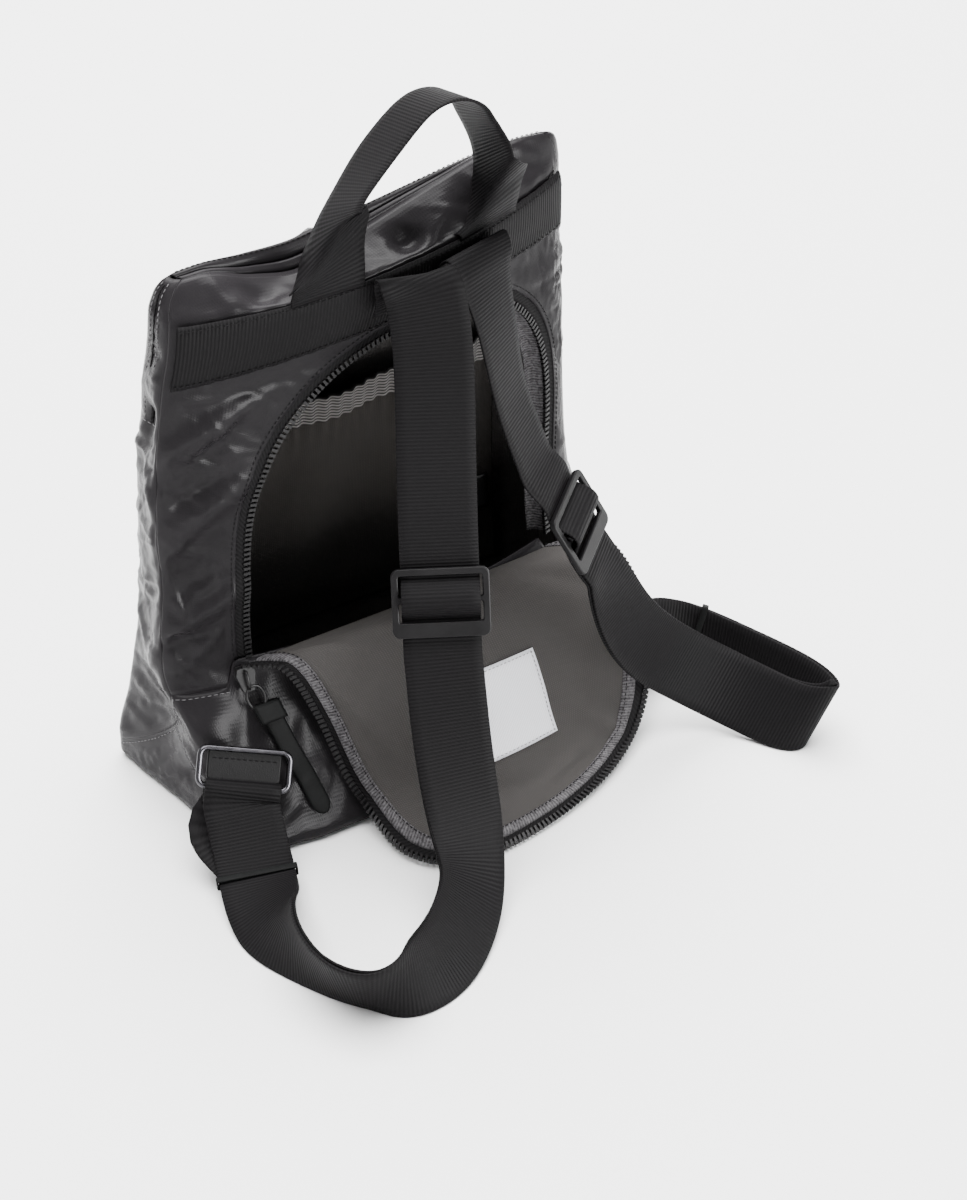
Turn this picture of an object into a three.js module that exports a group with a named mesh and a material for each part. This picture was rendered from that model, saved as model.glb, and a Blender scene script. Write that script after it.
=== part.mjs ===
// Backpack that stands on its base with the arched door in its back unzipped and folded down.
// Millimetres, +Z up, the back with the door faces -Y, the floor is z = 0.
import * as THREE from 'three';

// Driving dimensions
const WALL = 1.8;
const SEAM_GAP = 0.35;
const CLEAR = 0.3;
const FLOOR_CLEAR = 0.15;
const WEBBING_WIDTH = 38;
const WEBBING_THICK = 1.5;
const BAND_LOW = 252;
const BAND_HIGH = 283;
const BAND_CLEAR = 1.4;
const RIDGE = 301;
const DOOR_HALF = 98;
const DOOR_SPRING = 150;
const DOOR_TOP = 250;
const DOOR_SQUARE = 2.3;
const HINGE = 88.6;
const ZIP_WIDTH = 7.5;
const BINDING_WIDTH = 8;
const LABEL_SIZE = 44;
const SLIDER = { width: 47.4, height: 34, rim: 3.5, lowBar: 7.5, thick: 3, bar: 1.2, barAt: -1.5 };
const RING = { length: 48, height: 22, wire: 3 };

// Colours as in the photo
const NYLON = { color: 0x3d3a3d, roughness: 0.38, metalness: 0 };
const LINING = { color: 0x5a5552, roughness: 0.8, metalness: 0 };
const WEBBING = { color: 0x242324, roughness: 0.7, metalness: 0 };
const ZIPPER = { color: 0x1c1b1c, roughness: 0.5, metalness: 0 };
const TAPE = { color: 0x757274, roughness: 0.85, metalness: 0 };
const LABEL = { color: 0xc9c9cf, roughness: 0.7, metalness: 0 };
const ACETAL = { color: 0x2a292a, roughness: 0.45, metalness: 0 };
const GUNMETAL = { color: 0x6b6a6c, roughness: 0.3, metalness: 1 };
const LEATHER = { color: 0x1b1a1b, roughness: 0.55, metalness: 0 };
const RUBBER = { color: 0x252727, roughness: 0.75, metalness: 0 };

// Tables are written as rows under named columns
const table = (columns, rows) => rows.map((row) =>
  Object.fromEntries(columns.split(' ').map((name, i) => [name, row[i]])));

// Level cuts through the bag. left, right: where the back corners are; back: middle of the back;
// cornerL, cornerR: depth of the back corners; sides: half width at the front; front: its middle.
const SECTIONS = table('z left right back cornerL cornerR sides edge front', [
  [0, 116, 111, -60, -54, -46, 129, 53, 58],
  [4, 120, 115, -64, -58, -49, 135, 57, 62],
  [14, 121, 117, -61, -52, -44, 135, 57, 63],
  [45, 126, 121, -43, -28, -23, 129, 53, 63],
  [88, 134, 123.5, -20, -1, 7, 123, 47, 61],
  [137, 131, 119.5, -17, 0, 11, 119.5, 43, 57],
  [184, 130, 117.5, -14, 1, 13, 118.5, 39, 52],
  [220, 127, 114.5, -11, 1, 13, 117.5, 35, 46],
  [250, 122, 112.5, -10, 2, 13, 116.5, 31, 40],
  [270, 117, 112, -14, 3, 13, 115, 28, 36],
  [284, 114, 111, -15, 5, 13, 115, 26, 32],
  [293, 110, 110, -3, 9, 13.5, 113, 24, 27.5],
  [298.5, 106, 107, 6.5, 11, 13, 110, 21.5, 23],
  [RIDGE, 102, 104, 12.5, 12.8, 13, 105.5, 19.6, 20],
]);

// How far the top ridge sags or stands up along the width
const RIDGE_LIFT = table('x up', [
  [-112, -1],
  [-90, -2],
  [-64, -12],
  [-40, -18],
  [-15, -12],
  [5, -7],
  [36, 0],
  [62, 5],
  [80, 6],
  [105, 2],
]);

// Main folds and dents of the cloth. girth: 0 front left, 1 back left, 2 back right, 3 front right corner;
// angle: lean of the fold from upright in degrees; reach, wide: half sizes in mm; out: height.
const FOLDS = table('girth z angle reach wide out', [
  [1.07, 232, 52, 34, 9, 4.5],
  [1.08, 206, 60, 36, 9, -4.5],
  [1.05, 176, 48, 38, 10, 4],
  [1.07, 146, 40, 30, 10, -3.5],
  [1.05, 118, 66, 30, 9, 3],
  [1.2, 290, 20, 14, 11, -4],
  [1.55, 289, -24, 16, 10, -6],
  [1.64, 291, 30, 14, 10, 3],
  [1.95, 226, -30, 30, 10, 3],
  [1.05, 60, 70, 22, 9, 3.5],
  [0.62, 235, 14, 34, 9, -5],
  [0.4, 150, -12, 55, 11, 2],
  [0.55, 55, 18, 30, 10, -4],
  [2.5, 160, 10, 60, 12, -5],
  [3.3, 210, 55, 60, 16, -4],
  [3.7, 130, -50, 60, 16, 4],
  [3.5, 60, 82, 80, 14, -3],
]);

// Door laid open. along: share of its length from the hinge; l, m, r: left edge, middle, right edge.
const DOOR_ROWS = table('along lx ly lz mx my mz rx ry rz', [
  [0, -98, -19.5, 89.8, 0, -20, 89.8, 98, -18, 89.8],
  [0.12, -86, -31, 91, 2, -37, 96, 115, -26, 90],
  [0.35, -70, -44, 60, 8, -62, 71, 127, -45, 62],
  [0.6, -62, -62, 18, 12, -82, 32, 124, -64, 30],
  [0.8, -70, -98, 4, 14, -98, 10, 122, -80, 11],
  [1, -82, -133, 1.6, 14, -118, 2.4, 124, -97, 5],
]);

// Webbing routes: middle line x, y, z and the direction wx, wy, wz across the webbing.
const HANDLE_ROUTE = table('x y z wx wy wz', [
  [-39.5, -17, 285, 1, 0, 0],
  [-38.9, -17, 294.5, 0.93, -0.33, 0.1],
  [-37, -16.8, 302, 0.45, -0.86, 0.23],
  [-33.5, -16.2, 311, 0.08, -0.96, 0.27],
  [-27, -15, 325, -0.04, -0.96, 0.27],
  [-9, -12, 343, -0.08, -0.96, 0.27],
  [12, -10, 358.5, -0.1, -0.96, 0.27],
  [28, -9, 361, -0.1, -0.96, 0.27],
  [40, -9, 355.5, -0.1, -0.96, 0.27],
  [46, -9, 346, -0.1, -0.96, 0.27],
  [51.5, -10, 334, -0.05, -0.96, 0.27],
  [54.5, -11.5, 322, 0, -0.96, 0.26],
  [55.2, -12.3, 314, 0.1, -0.95, 0.25],
  [55.3, -12.8, 306, 0.5, -0.84, 0.2],
  [55, -13, 299, 0.92, -0.36, 0.1],
  [54.5, -13, 292, 1, 0, 0],
]);
const LEFT_SEWN = table('level gap', [[264, 3], [275, 4]]);
const LEFT_UPPER = table('x y z wx wy wz', [
  [1, -18.6, 277, -1, 0.02, 0],
  [0.3, -28, 282.5, -0.92, 0.38, 0],
  [0.3, -35, 279, -0.89, 0.45, 0],
  [0.4, -39, 270, -0.88, 0.47, 0.02],
  [0, -43, 256, -0.87, 0.5, 0.04],
  [-2, -48, 238, -0.87, 0.5, 0.05],
  [-9, -60, 207, -0.87, 0.48, 0.05],
]);
const LEFT_SLIDER = { x: -24, y: -87, z: 140, wx: -0.85, wy: 0.52, wz: 0.02 };
const LEFT_LOWER = table('x y z wx wy wz', [
  [-30, -100, 104, -0.85, 0.52, 0.04],
  [-34, -112, 75, -0.9, 0.4, 0.12],
  [-37, -126, 45, -0.93, 0.28, 0.2],
  [-41.5, -141, 25, -0.86, 0.2, 0.5],
  [-54, -159, 16.5, -0.68, 0.3, 0.66],
  [-85, -184, 15, -0.62, 0.28, 0.72],
  [-119, -193, 17.5, -0.5, 0, 0.86],
  [-136, -176, 18.5, -0.3, -0.22, 0.92],
  [-142, -150, 17, 0, -0.5, 0.86],
  [-141, -124, 13.5, 0.25, -0.72, 0.62],
  [-136, -102, 11, 0.55, -0.66, 0.45],
  [-126, -77, 10, 0.92, -0.39, -0.05],
  [-121.5, -60, 20, 0.9, -0.42, -0.12],
]);
const LEFT_RING = {
  x: -112, y: -43, z: 46, lx: 0.88, ly: -0.43, lz: -0.2, sx: -0.5, sy: -0.42, sz: -0.76, slack: [-7, 8, 2],
};
const RIGHT_SEWN = table('level gap', [[265, 0.6], [276, 1.6]]);
const RIGHT_UPPER = table('x y z wx wy wz', [
  [37.5, -18.2, 278, 0.97, 0.05, 0],
  [37.8, -24.5, 285, 0.97, 0.24, 0.04],
  [37.4, -31, 280.5, 0.95, 0.3, 0.02],
  [37.2, -34, 270, 0.91, 0.4, -0.02],
  [39.2, -38, 252, 0.85, 0.51, -0.06],
  [42, -48, 212, 0.79, 0.6, -0.05],
  [48.5, -60, 178, 0.79, 0.61, 0],
]);
const RIGHT_SLIDER = { x: 66, y: -73, z: 145, wx: 0.79, wy: 0.61, wz: 0 };
const RIGHT_LOWER = table('x y z wx wy wz', [
  [76, -83, 113, 0.84, 0.5, 0.08],
  [87, -83, 86, 0.9, 0.36, 0.14],
  [98.5, -83, 67, 0.85, 0.3, 0.36],
  [116, -81, 47, 0.73, 0.2, 0.62],
  [137, -86, 29, 0.67, 0.15, 0.69],
  [154, -104, 18.5, 0.62, 0.1, 0.76],
  [164, -129, 16.8, 0.58, 0.06, 0.8],
  [171.5, -141, 16.8, 0.55, 0.03, 0.83],
  [179.5, -140, 17.1, 0.52, 0.02, 0.85],
  [182.5, -122, 17.6, 0.46, 0.04, 0.88],
  [174, -88, 18.4, 0.32, 0.08, 0.94],
  [163, -59, 20.5, 0.2, 0.18, 0.96],
  [149, -46, 25, 0.3, 0.36, 0.88],
  [136, -43.5, 31, 0.55, 0.5, 0.66],
]);
const RIGHT_RING = {
  x: 116.8, y: -34.4, z: 45, lx: 0.62, ly: 0.76, lz: 0.18, sx: 0.6, sy: -0.32, sz: -0.73, slack: [0, 0, 0],
};
const LEFT_KEEPER = 42;
const RIGHT_KEEPER = 40;
const STATION = 8;

// Small vector and table helpers
const vec = (x, y, z) => new THREE.Vector3(x, y, z);
const mix = (a, b, t) => a + (b - a) * t;
const clamp01 = (t) => Math.min(1, Math.max(0, t));
const ease = (from, to, at) => {
  const t = clamp01((at - from) / (to - from));
  return t * t * (3 - 2 * t);
};
const steps = (count, from = 0, to = 1) =>
  Array.from({ length: count + 1 }, (_, i) => mix(from, to, i / count));

// Reads all columns of a table at one value of its key column, smoothly through the rows.
function read(table, key, at) {
  const last = table.length - 1;
  const value = Math.min(table[last][key], Math.max(table[0][key], at));
  let i = 0;
  while (i < last - 1 && table[i + 1][key] < value) i += 1;
  const span = table[i + 1][key] - table[i][key];
  const t = (value - table[i][key]) / span;
  const result = {};
  for (const column of Object.keys(table[0])) {
    const slope = (k) => (table[k + 1][column] - table[k][column]) / (table[k + 1][key] - table[k][key]);
    const here = slope(i);
    const before = i > 0 ? slope(i - 1) : here;
    const after = i < last - 1 ? slope(i + 1) : here;
    const m0 = before * here <= 0 ? 0 : 2 * before * here / (before + here);
    const m1 = after * here <= 0 ? 0 : 2 * after * here / (after + here);
    const a = table[i][column];
    const b = table[i + 1][column];
    result[column] = a * (2 * t ** 3 - 3 * t ** 2 + 1) + b * (3 * t ** 2 - 2 * t ** 3)
      + span * m0 * (t ** 3 - 2 * t ** 2 + t) + span * m1 * (t ** 3 - t ** 2);
  }
  return result;
}

// Outer skin of the bag. girth runs once round the level cut, 0 to 4, with a corner at each whole number.
const CORNER_RADIUS = [8, 9, 14, 10];
function cutPoint(cut, side, f) {
  const corners = [
    [-cut.sides, cut.edge], [-cut.left, cut.cornerL], [cut.right, cut.cornerR], [cut.sides, cut.edge],
  ];
  const a = corners[side];
  const b = corners[(side + 1) % 4];
  const arch = 1 - Math.abs(2 * f - 1) ** 2.2;
  const x = mix(a[0], b[0], f);
  let y = mix(a[1], b[1], f);
  if (side === 1) y += (cut.back - mix(a[1], b[1], 0.5)) * arch;
  if (side === 3) y += (cut.front - mix(a[1], b[1], 0.5)) * arch;
  return [x, y];
}
function roundedCut(cut, girth) {
  const g = ((girth % 4) + 4) % 4;
  const side = Math.min(3, Math.floor(g));
  const f = g - side;
  const length = (k) => {
    const p = cutPoint(cut, k, 0);
    const q = cutPoint(cut, k, 1);
    return Math.hypot(p[0] - q[0], p[1] - q[1]);
  };
  const share = (k, corner) => Math.min(0.45, CORNER_RADIUS[corner % 4] / Math.max(1, length(k)));
  const startShare = share(side, side);
  const endShare = share(side, side + 1);
  let corner = -1;
  let t = 0;
  if (f < startShare) {
    corner = side;
    t = 0.5 + 0.5 * f / startShare;
  } else if (f > 1 - endShare) {
    corner = side + 1;
    t = 0.5 * (f - 1 + endShare) / endShare;
  } else {
    return cutPoint(cut, side, f);
  }
  const before = (corner + 3) % 4;
  const after = corner % 4;
  const a = cutPoint(cut, before, 1 - share(before, corner));
  const c = cutPoint(cut, after, 0);
  const b = cutPoint(cut, after, share(after, corner));
  const blend = (k) => (1 - t) ** 2 * a[k] + 2 * t * (1 - t) * c[k] + t * t * b[k];
  return [blend(0), blend(1)];
}
function towardFront(girth) {
  const g = ((girth % 4) + 4) % 4;
  if (g < 1) return 1 - g;
  if (g < 2) return 0;
  return Math.min(1, g - 2);
}
function plainSkin(girth, z) {
  const [x, y] = roundedCut(read(SECTIONS, 'z', z), girth);
  const tilt = 0.07 * x * ease(150, 265, z);
  const lift = read(RIDGE_LIFT, 'x', x).up * ease(280, RIDGE, z) * mix(1, 0.35, towardFront(girth));
  return vec(x, y, z + tilt + lift);
}
function skinNormal(girth, z) {
  const dg = 0.012;
  const dz = 1.2;
  const along = plainSkin(girth + dg, z).sub(plainSkin(girth - dg, z));
  const up = plainSkin(girth, Math.min(RIDGE, z + dz)).sub(plainSkin(girth, Math.max(0, z - dz)));
  return along.cross(up).normalize();
}
function foldHeight(girth, z) {
  let height = 0;
  for (const fold of FOLDS) {
    const sideLength = Math.floor(fold.girth) % 2 === 1 ? 255 : 45;
    const across = (((girth - fold.girth + 6) % 4) - 2) * sideLength;
    const angle = fold.angle * Math.PI / 180;
    const along = Math.sin(angle) * across + Math.cos(angle) * (z - fold.z);
    const aside = Math.cos(angle) * across - Math.sin(angle) * (z - fold.z);
    height += fold.out * Math.exp(-((along / fold.reach) ** 2) * 1.6 - (aside / fold.wide) ** 2);
  }
  const underBand = ease(232, 247, z) * ease(293, 285, z);
  return height * (1 - underBand) * ease(RIDGE, RIDGE - 10, z) * ease(3, 20, z);
}
function skin(girth, z, deep = 0) {
  const normal = skinNormal(girth, z);
  return plainSkin(girth, z).addScaledVector(normal, foldHeight(girth, z) - deep);
}
const backGirth = (x, z) => {
  const cut = read(SECTIONS, 'z', z);
  return 1 + (x + cut.left) / (cut.left + cut.right);
};
const doorShift = (z) => 2 + 12 * ease(95, 250, z);
const baseSeam = (girth) => {
  const f = girth - Math.floor(girth);
  const side = Math.floor(girth) % 4;
  if (side === 1) return 74 + 14 * ease(0, 0.13, Math.min(f, 1 - f));
  if (side === 3) return 8;
  return mix(8, 74, side === 0 ? f : 1 - f);
};

// Turns a grid of outer points and one of inner points into one closed body.
function shell(outer, inner) {
  const rows = outer.length;
  const columns = outer[0].length;
  const positions = [];
  const seen = new Map();
  const id = (p) => {
    const key = `${p.x.toFixed(3)},${p.y.toFixed(3)},${p.z.toFixed(3)}`;
    if (!seen.has(key)) {
      seen.set(key, positions.length / 3);
      positions.push(p.x, p.y, p.z);
    }
    return seen.get(key);
  };
  const triangles = [];
  const triangle = (a, b, c) => {
    if (a !== b && b !== c && a !== c) triangles.push(a, b, c);
  };
  const quad = (p, q, r, s) => {
    const [a, b, c, d] = [id(p), id(q), id(r), id(s)];
    triangle(a, b, c);
    triangle(a, c, d);
  };
  for (let i = 0; i + 1 < rows; i += 1) {
    for (let j = 0; j + 1 < columns; j += 1) {
      quad(outer[i][j], outer[i][j + 1], outer[i + 1][j + 1], outer[i + 1][j]);
      quad(inner[i][j], inner[i + 1][j], inner[i + 1][j + 1], inner[i][j + 1]);
    }
  }
  const closed = outer[0][0].distanceTo(outer[0][columns - 1]) < 1e-3;
  for (let j = 0; j + 1 < columns; j += 1) {
    quad(outer[0][j], inner[0][j], inner[0][j + 1], outer[0][j + 1]);
    quad(outer[rows - 1][j], outer[rows - 1][j + 1], inner[rows - 1][j + 1], inner[rows - 1][j]);
  }
  for (let i = 0; i + 1 < rows && !closed; i += 1) {
    quad(outer[i][0], outer[i + 1][0], inner[i + 1][0], inner[i][0]);
    const end = columns - 1;
    quad(outer[i][end], inner[i][end], inner[i + 1][end], outer[i + 1][end]);
  }
  const geometry = new THREE.BufferGeometry();
  geometry.setAttribute('position', new THREE.Float32BufferAttribute(positions, 3));
  geometry.setIndex(triangles);
  return facingOut(geometry);
}
function facingOut(geometry) {
  const p = geometry.getAttribute('position');
  const index = geometry.getIndex().array;
  const corner = (i) => vec(p.getX(index[i]), p.getY(index[i]), p.getZ(index[i]));
  let volume = 0;
  for (let i = 0; i < index.length; i += 3) {
    volume += corner(i).dot(corner(i + 1).cross(corner(i + 2)));
  }
  if (volume < 0) {
    for (let i = 0; i < index.length; i += 3) {
      [index[i + 1], index[i + 2]] = [index[i + 2], index[i + 1]];
    }
  }
  geometry.computeVertexNormals();
  return geometry;
}
const grid = (rows, columns, at) => rows.map((r) => columns.map((c) => at(r, c)));

const group = new THREE.Group();
group.name = 'backpack';
function add(name, geometry, look) {
  const mesh = new THREE.Mesh(geometry, new THREE.MeshStandardMaterial(look));
  mesh.name = name;
  group.add(mesh);
}

// Levels up the back corner seams, and columns round the cut, shared by the panels that meet there
const FOOT = baseSeam(1) + SEAM_GAP;
const SPRING_OUT = 158;
const TOP = RIDGE - SEAM_GAP;
const UPPER = [0.16, 0.32, 0.48, 0.62, 0.74, 0.84, 0.91, 0.96, 1];
const SEAM_LEVELS = [...steps(5, FOOT, SPRING_OUT), ...UPPER.map((t) => mix(SPRING_OUT, TOP, t))];
const SIDE_COLUMNS = [0, 0.2, 0.42, 0.62, 0.82, 1];
const FRONT_COLUMNS = [0, 0.04, 0.1, 0.2, 0.32, 0.44, 0.56, 0.68, 0.8, 0.9, 0.96, 1];
const ACROSS = [0, 0.24, 0.46, 0.66, 0.82, 0.93, 1];
const sideInset = SEAM_GAP / 2 / 42;
const backInset = SEAM_GAP / 2 / 255;
const footGirth = (side) => backGirth(side * DOOR_HALF + doorShift(HINGE), HINGE);

// Wall panels from the base seam up to the ridge
function wallPanel(side, columns, inset) {
  const girths = columns.map((f) => side + mix(inset, 1 - inset, f));
  const shares = SEAM_LEVELS.map((z) => (z - FOOT) / (TOP - FOOT));
  const level = (g, t) => mix(baseSeam(g) + SEAM_GAP, TOP, t);
  const points = (deep) => grid(shares, girths, (t, g) => skin(g, level(g, t), deep));
  return shell(points(0), points(WALL));
}
add('gusset_left', wallPanel(0, SIDE_COLUMNS, sideInset), NYLON);
add('gusset_right', wallPanel(2, SIDE_COLUMNS, sideInset), NYLON);
add('front_panel', wallPanel(3, FRONT_COLUMNS, backInset), NYLON);

// Base: flat floor and the walls below the base seam
function basePanel() {
  const leftOfDoor = ACROSS.map((t) => mix(footGirth(-1), 1, t)).reverse();
  const rightOfDoor = ACROSS.map((t) => mix(footGirth(1), 2, t));
  const girths = [
    ...SIDE_COLUMNS.slice(0, -1),
    ...leftOfDoor.slice(0, -1),
    ...steps(6, footGirth(-1), footGirth(1)),
    ...rightOfDoor.slice(1),
    ...SIDE_COLUMNS.slice(1, -1).map((f) => 2 + f),
    ...FRONT_COLUMNS.map((f) => 3 + f),
  ];
  const floor = [0, 0.9];
  const walls = [0, 0.14, 0.36, 0.66, 1];
  const surface = (deep) => [
    ...grid(floor, girths, (r, g) => {
      const p = plainSkin(g, 0);
      return vec(p.x * r, mix(2, p.y, r), deep);
    }),
    ...grid(walls, girths, (t, g) => {
      const z = t * baseSeam(g);
      const p = skin(g, z, deep);
      p.z = t === 0 ? deep : Math.max(p.z, mix(deep, 0, ease(0, 9, z)));
      return p;
    }),
  ];
  return shell(surface(0), surface(WALL));
}
add('base_panel', basePanel(), NYLON);

// Arch of the door, as a share of its way round from the left foot over the top to the right foot
const STRAIGHT = 0.2;
function doorArch(share, inset) {
  const half = DOOR_HALF - inset;
  const rise = DOOR_TOP - inset - DOOR_SPRING;
  if (share <= STRAIGHT) return [-half, mix(HINGE, DOOR_SPRING, share / STRAIGHT)];
  if (share >= 1 - STRAIGHT) return [half, mix(DOOR_SPRING, HINGE, (share - 1 + STRAIGHT) / STRAIGHT)];
  const angle = Math.PI * (1 - (share - STRAIGHT) / (1 - 2 * STRAIGHT));
  const power = 2 / DOOR_SQUARE;
  const cos = Math.cos(angle);
  return [half * Math.sign(cos) * Math.abs(cos) ** power, DOOR_SPRING + rise * Math.sin(angle) ** power];
}
const CORNER = STRAIGHT + 0.3 * (1 - 2 * STRAIGHT);
const archShares = [
  ...steps(5, 0, STRAIGHT),
  ...steps(9, STRAIGHT, CORNER).slice(1),
  ...steps(10, CORNER, 1 - CORNER).slice(1),
  ...steps(9, 1 - CORNER, 1 - STRAIGHT).slice(1),
  ...steps(5, 1 - STRAIGHT, 1).slice(1),
];

// Closed zip in the slit along the top ridge
function topZip() {
  const ends = steps(14, 0.03, 0.97);
  const points = (down) => grid([0.35, 0.65], ends, (t, f) => {
    const back = skin(1 + f, TOP);
    const front = skin(4 - f, TOP);
    return back.lerp(front, t).add(vec(0, 0, -down));
  });
  return shell(points(0.3), points(1.5));
}
add('top_zip', topZip(), ZIPPER);

const mouthPoint = (share, inset, deep) => {
  const [x, z] = doorArch(share, inset);
  return skin(backGirth(x + doorShift(z), z), z, deep);
};

// Back panel: the strip between the arch of the door and the outer seams and ridge
function backPanel() {
  const share01 = (s) => (s - STRAIGHT) / (CORNER - STRAIGHT);
  const outerAt = (share) => {
    const s = Math.min(share, 1 - share);
    const seam = 1 + backInset;
    let point;
    if (s <= STRAIGHT) point = [seam, mix(FOOT, SPRING_OUT, s / STRAIGHT)];
    else if (s <= CORNER) point = [seam, SEAM_LEVELS[5 + Math.round(9 * share01(s))]];
    else point = [mix(seam, 1.5, (s - CORNER) / (0.5 - CORNER)), TOP];
    return share > 0.5 ? [3 - point[0], point[1]] : point;
  };
  const points = (deep) => grid(archShares, ACROSS, (share, t) => {
    const [x, z] = doorArch(share, 0);
    const [outerGirth, outerZ] = outerAt(share);
    const girth = mix(backGirth(x + doorShift(z), z), outerGirth, t);
    const s = Math.min(share, 1 - share);
    const low = baseSeam(girth) + SEAM_GAP;
    const straightLevel = mix(low, mix(DOOR_SPRING, SPRING_OUT, t), s / STRAIGHT);
    const level = s < STRAIGHT ? straightLevel : mix(z, outerZ, t);
    return skin(girth, level, deep);
  });
  return shell(points(0), points(WALL));
}
add('back_panel', backPanel(), NYLON);

// Zip tape with its row of teeth round the mouth, and the binding behind it
const mouthStrip = (from, to, outside, inside) => {
  const insets = [from, to];
  const points = (deep) => grid(insets, archShares, (inset, share) => mouthPoint(share, inset, deep));
  return shell(points(outside), points(inside));
};
add('mouth_zip', mouthStrip(CLEAR, ZIP_WIDTH, 0.1, 1.7), ZIPPER);
add('mouth_binding', mouthStrip(-2, BINDING_WIDTH - 2, WALL + 2 * CLEAR, WALL + 2 * CLEAR + 1.2), TAPE);

// Door, folded down and laid open: flat place on the door to its place in space
const DOOR_LENGTH = DOOR_TOP - HINGE;
function doorPlace(x, along) {
  const row = read(DOOR_ROWS, 'along', along / DOOR_LENGTH);
  const p = x / DOOR_HALF;
  const through = (l, m, r) => m + p * (r - l) / 2 + p * p * ((l + r) / 2 - m);
  return vec(
    through(row.lx, row.mx, row.rx), through(row.ly, row.my, row.ry), through(row.lz, row.mz, row.rz),
  );
}
function doorPoint(x, along, height) {
  const d = 1.5;
  const low = Math.max(0, along - d);
  const sideways = doorPlace(x + d, along).sub(doorPlace(x - d, along));
  const outward = doorPlace(x, along + d).sub(doorPlace(x, low));
  const normal = outward.cross(sideways).normalize();
  if (normal.z < 0) normal.negate();
  const p = doorPlace(x, along).addScaledVector(normal, height);
  p.z = Math.max(p.z, 1.6 + height);
  return p;
}
const doorRim = (share, inset, height) => {
  const [x, z] = doorArch(share, inset);
  return doorPoint(x, z - HINGE, height);
};
const doorHalf = [...steps(4, 0, STRAIGHT), ...steps(9, STRAIGHT, 0.5).slice(1)];
const doorShares = [...doorHalf, ...doorHalf.slice(0, -1).reverse().map((share) => 1 - share)];
function doorSheet(inset, top, bottom) {
  const points = (height) => grid(doorHalf, steps(8, -1, 1), (share, side) => {
    const [x, z] = doorArch(share, inset);
    return doorPoint(-x * side, z - HINGE, height);
  });
  return shell(points(top), points(bottom));
}
const doorStrip = (from, to, top, bottom) => {
  const points = (height) => grid([from, to], doorShares, (inset, share) => doorRim(share, inset, height));
  return shell(points(top), points(bottom));
};
add('door_panel', doorSheet(ZIP_WIDTH + BINDING_WIDTH + 3 * CLEAR, -CLEAR / 2, -1.4), NYLON);
add('door_lining', doorSheet(ZIP_WIDTH + BINDING_WIDTH + 3 * CLEAR, 1.2, CLEAR / 2), LINING);
add('door_binding', doorStrip(ZIP_WIDTH + CLEAR, ZIP_WIDTH + BINDING_WIDTH, 1.6, -1.6), TAPE);
add('door_zip', doorStrip(0, ZIP_WIDTH, 0.9, -0.9), ZIPPER);
function doorLabel() {
  const middle = { x: 12, along: 0.5 * DOOR_LENGTH };
  const reach = steps(4, -LABEL_SIZE / 2, LABEL_SIZE / 2);
  const points = (height) => grid(reach, reach,
    (a, b) => doorPoint(middle.x + b, middle.along + a, height));
  return shell(points(2.2), points(1.2 + CLEAR));
}
add('door_label', doorLabel(), LABEL);

// Webbing band sewn across the upper back
function yokeBand() {
  const girths = steps(26, 1.03, 1.985);
  const points = (deep) => grid(steps(3, BAND_LOW, BAND_HIGH), girths, (z, g) => skin(g, z, deep));
  return shell(points(-BAND_CLEAR - WEBBING_THICK), points(-BAND_CLEAR));
}
add('yoke_band', yokeBand(), WEBBING);

// Webbing swept along stations, each with its middle and its direction across
function ribbon(stations, width, thick) {
  const outer = [];
  const inner = [];
  stations.forEach((station, i) => {
    const before = stations[Math.max(0, i - 1)].at;
    const after = stations[Math.min(stations.length - 1, i + 1)].at;
    const along = after.clone().sub(before).normalize();
    const face = station.across.clone().cross(along).normalize();
    const across = along.clone().cross(face).normalize();
    const low = Math.abs(across.z) * width / 2 + Math.abs(face.z) * thick / 2;
    const lift = Math.max(0, FLOOR_CLEAR + low - station.at.z);
    const edge = (side, height) => station.at.clone().add(vec(0, 0, lift))
      .addScaledVector(across, side * width / 2).addScaledVector(face, height * thick / 2);
    outer.push([edge(-1, 1), edge(1, 1)]);
    inner.push([edge(-1, -1), edge(1, -1)]);
  });
  return shell(outer, inner);
}
function stationsAlong(route, spacing) {
  const table = route.map((row, i) => ({ k: i, ...row }));
  const rows = [];
  for (let i = 0; i + 1 < route.length; i += 1) {
    const from = route[i];
    const to = route[i + 1];
    const gap = Math.hypot(to.x - from.x, to.y - from.y, to.z - from.z);
    const count = Math.max(1, Math.round(gap / spacing));
    for (let j = 0; j < count; j += 1) rows.push(i + j / count);
  }
  rows.push(route.length - 1);
  return rows.map((k) => {
    const r = readThrough(table, k);
    return { at: vec(r.x, r.y, r.z), across: vec(r.wx, r.wy, r.wz).normalize() };
  });
}
function readThrough(table, k) {
  const i = Math.min(table.length - 2, Math.floor(k));
  const t = k - i;
  const pick = (n) => table[Math.min(table.length - 1, Math.max(0, n))];
  const result = {};
  for (const column of Object.keys(table[0])) {
    const [a, b, c, d] = [pick(i - 1), pick(i), pick(i + 1), pick(i + 2)].map((row) => row[column]);
    result[column] = b + 0.5 * t * (c - a + t * (2 * a - 5 * b + 4 * c - d + t * (3 * (b - c) + d - a)));
  }
  return result;
}
const bandPlace = (x, z, height) => skin(backGirth(x, z), z, -BAND_CLEAR - height);
function sewnAt(row, level, height) {
  const half = WEBBING_WIDTH / 2;
  const p = bandPlace(row.x, level, height);
  const w = bandPlace(row.x + half, level, height).sub(bandPlace(row.x - half, level, height)).normalize();
  const rises = steps(6, -half, half).map((d) => bandPlace(row.x + d, level, height).z - p.z - d * w.z);
  w.multiplyScalar(Math.sign(row.wx));
  return { ...row, x: p.x, y: p.y, z: p.z, wx: w.x, wy: w.y, wz: w.z, rise: Math.max(...rises) };
}
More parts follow.
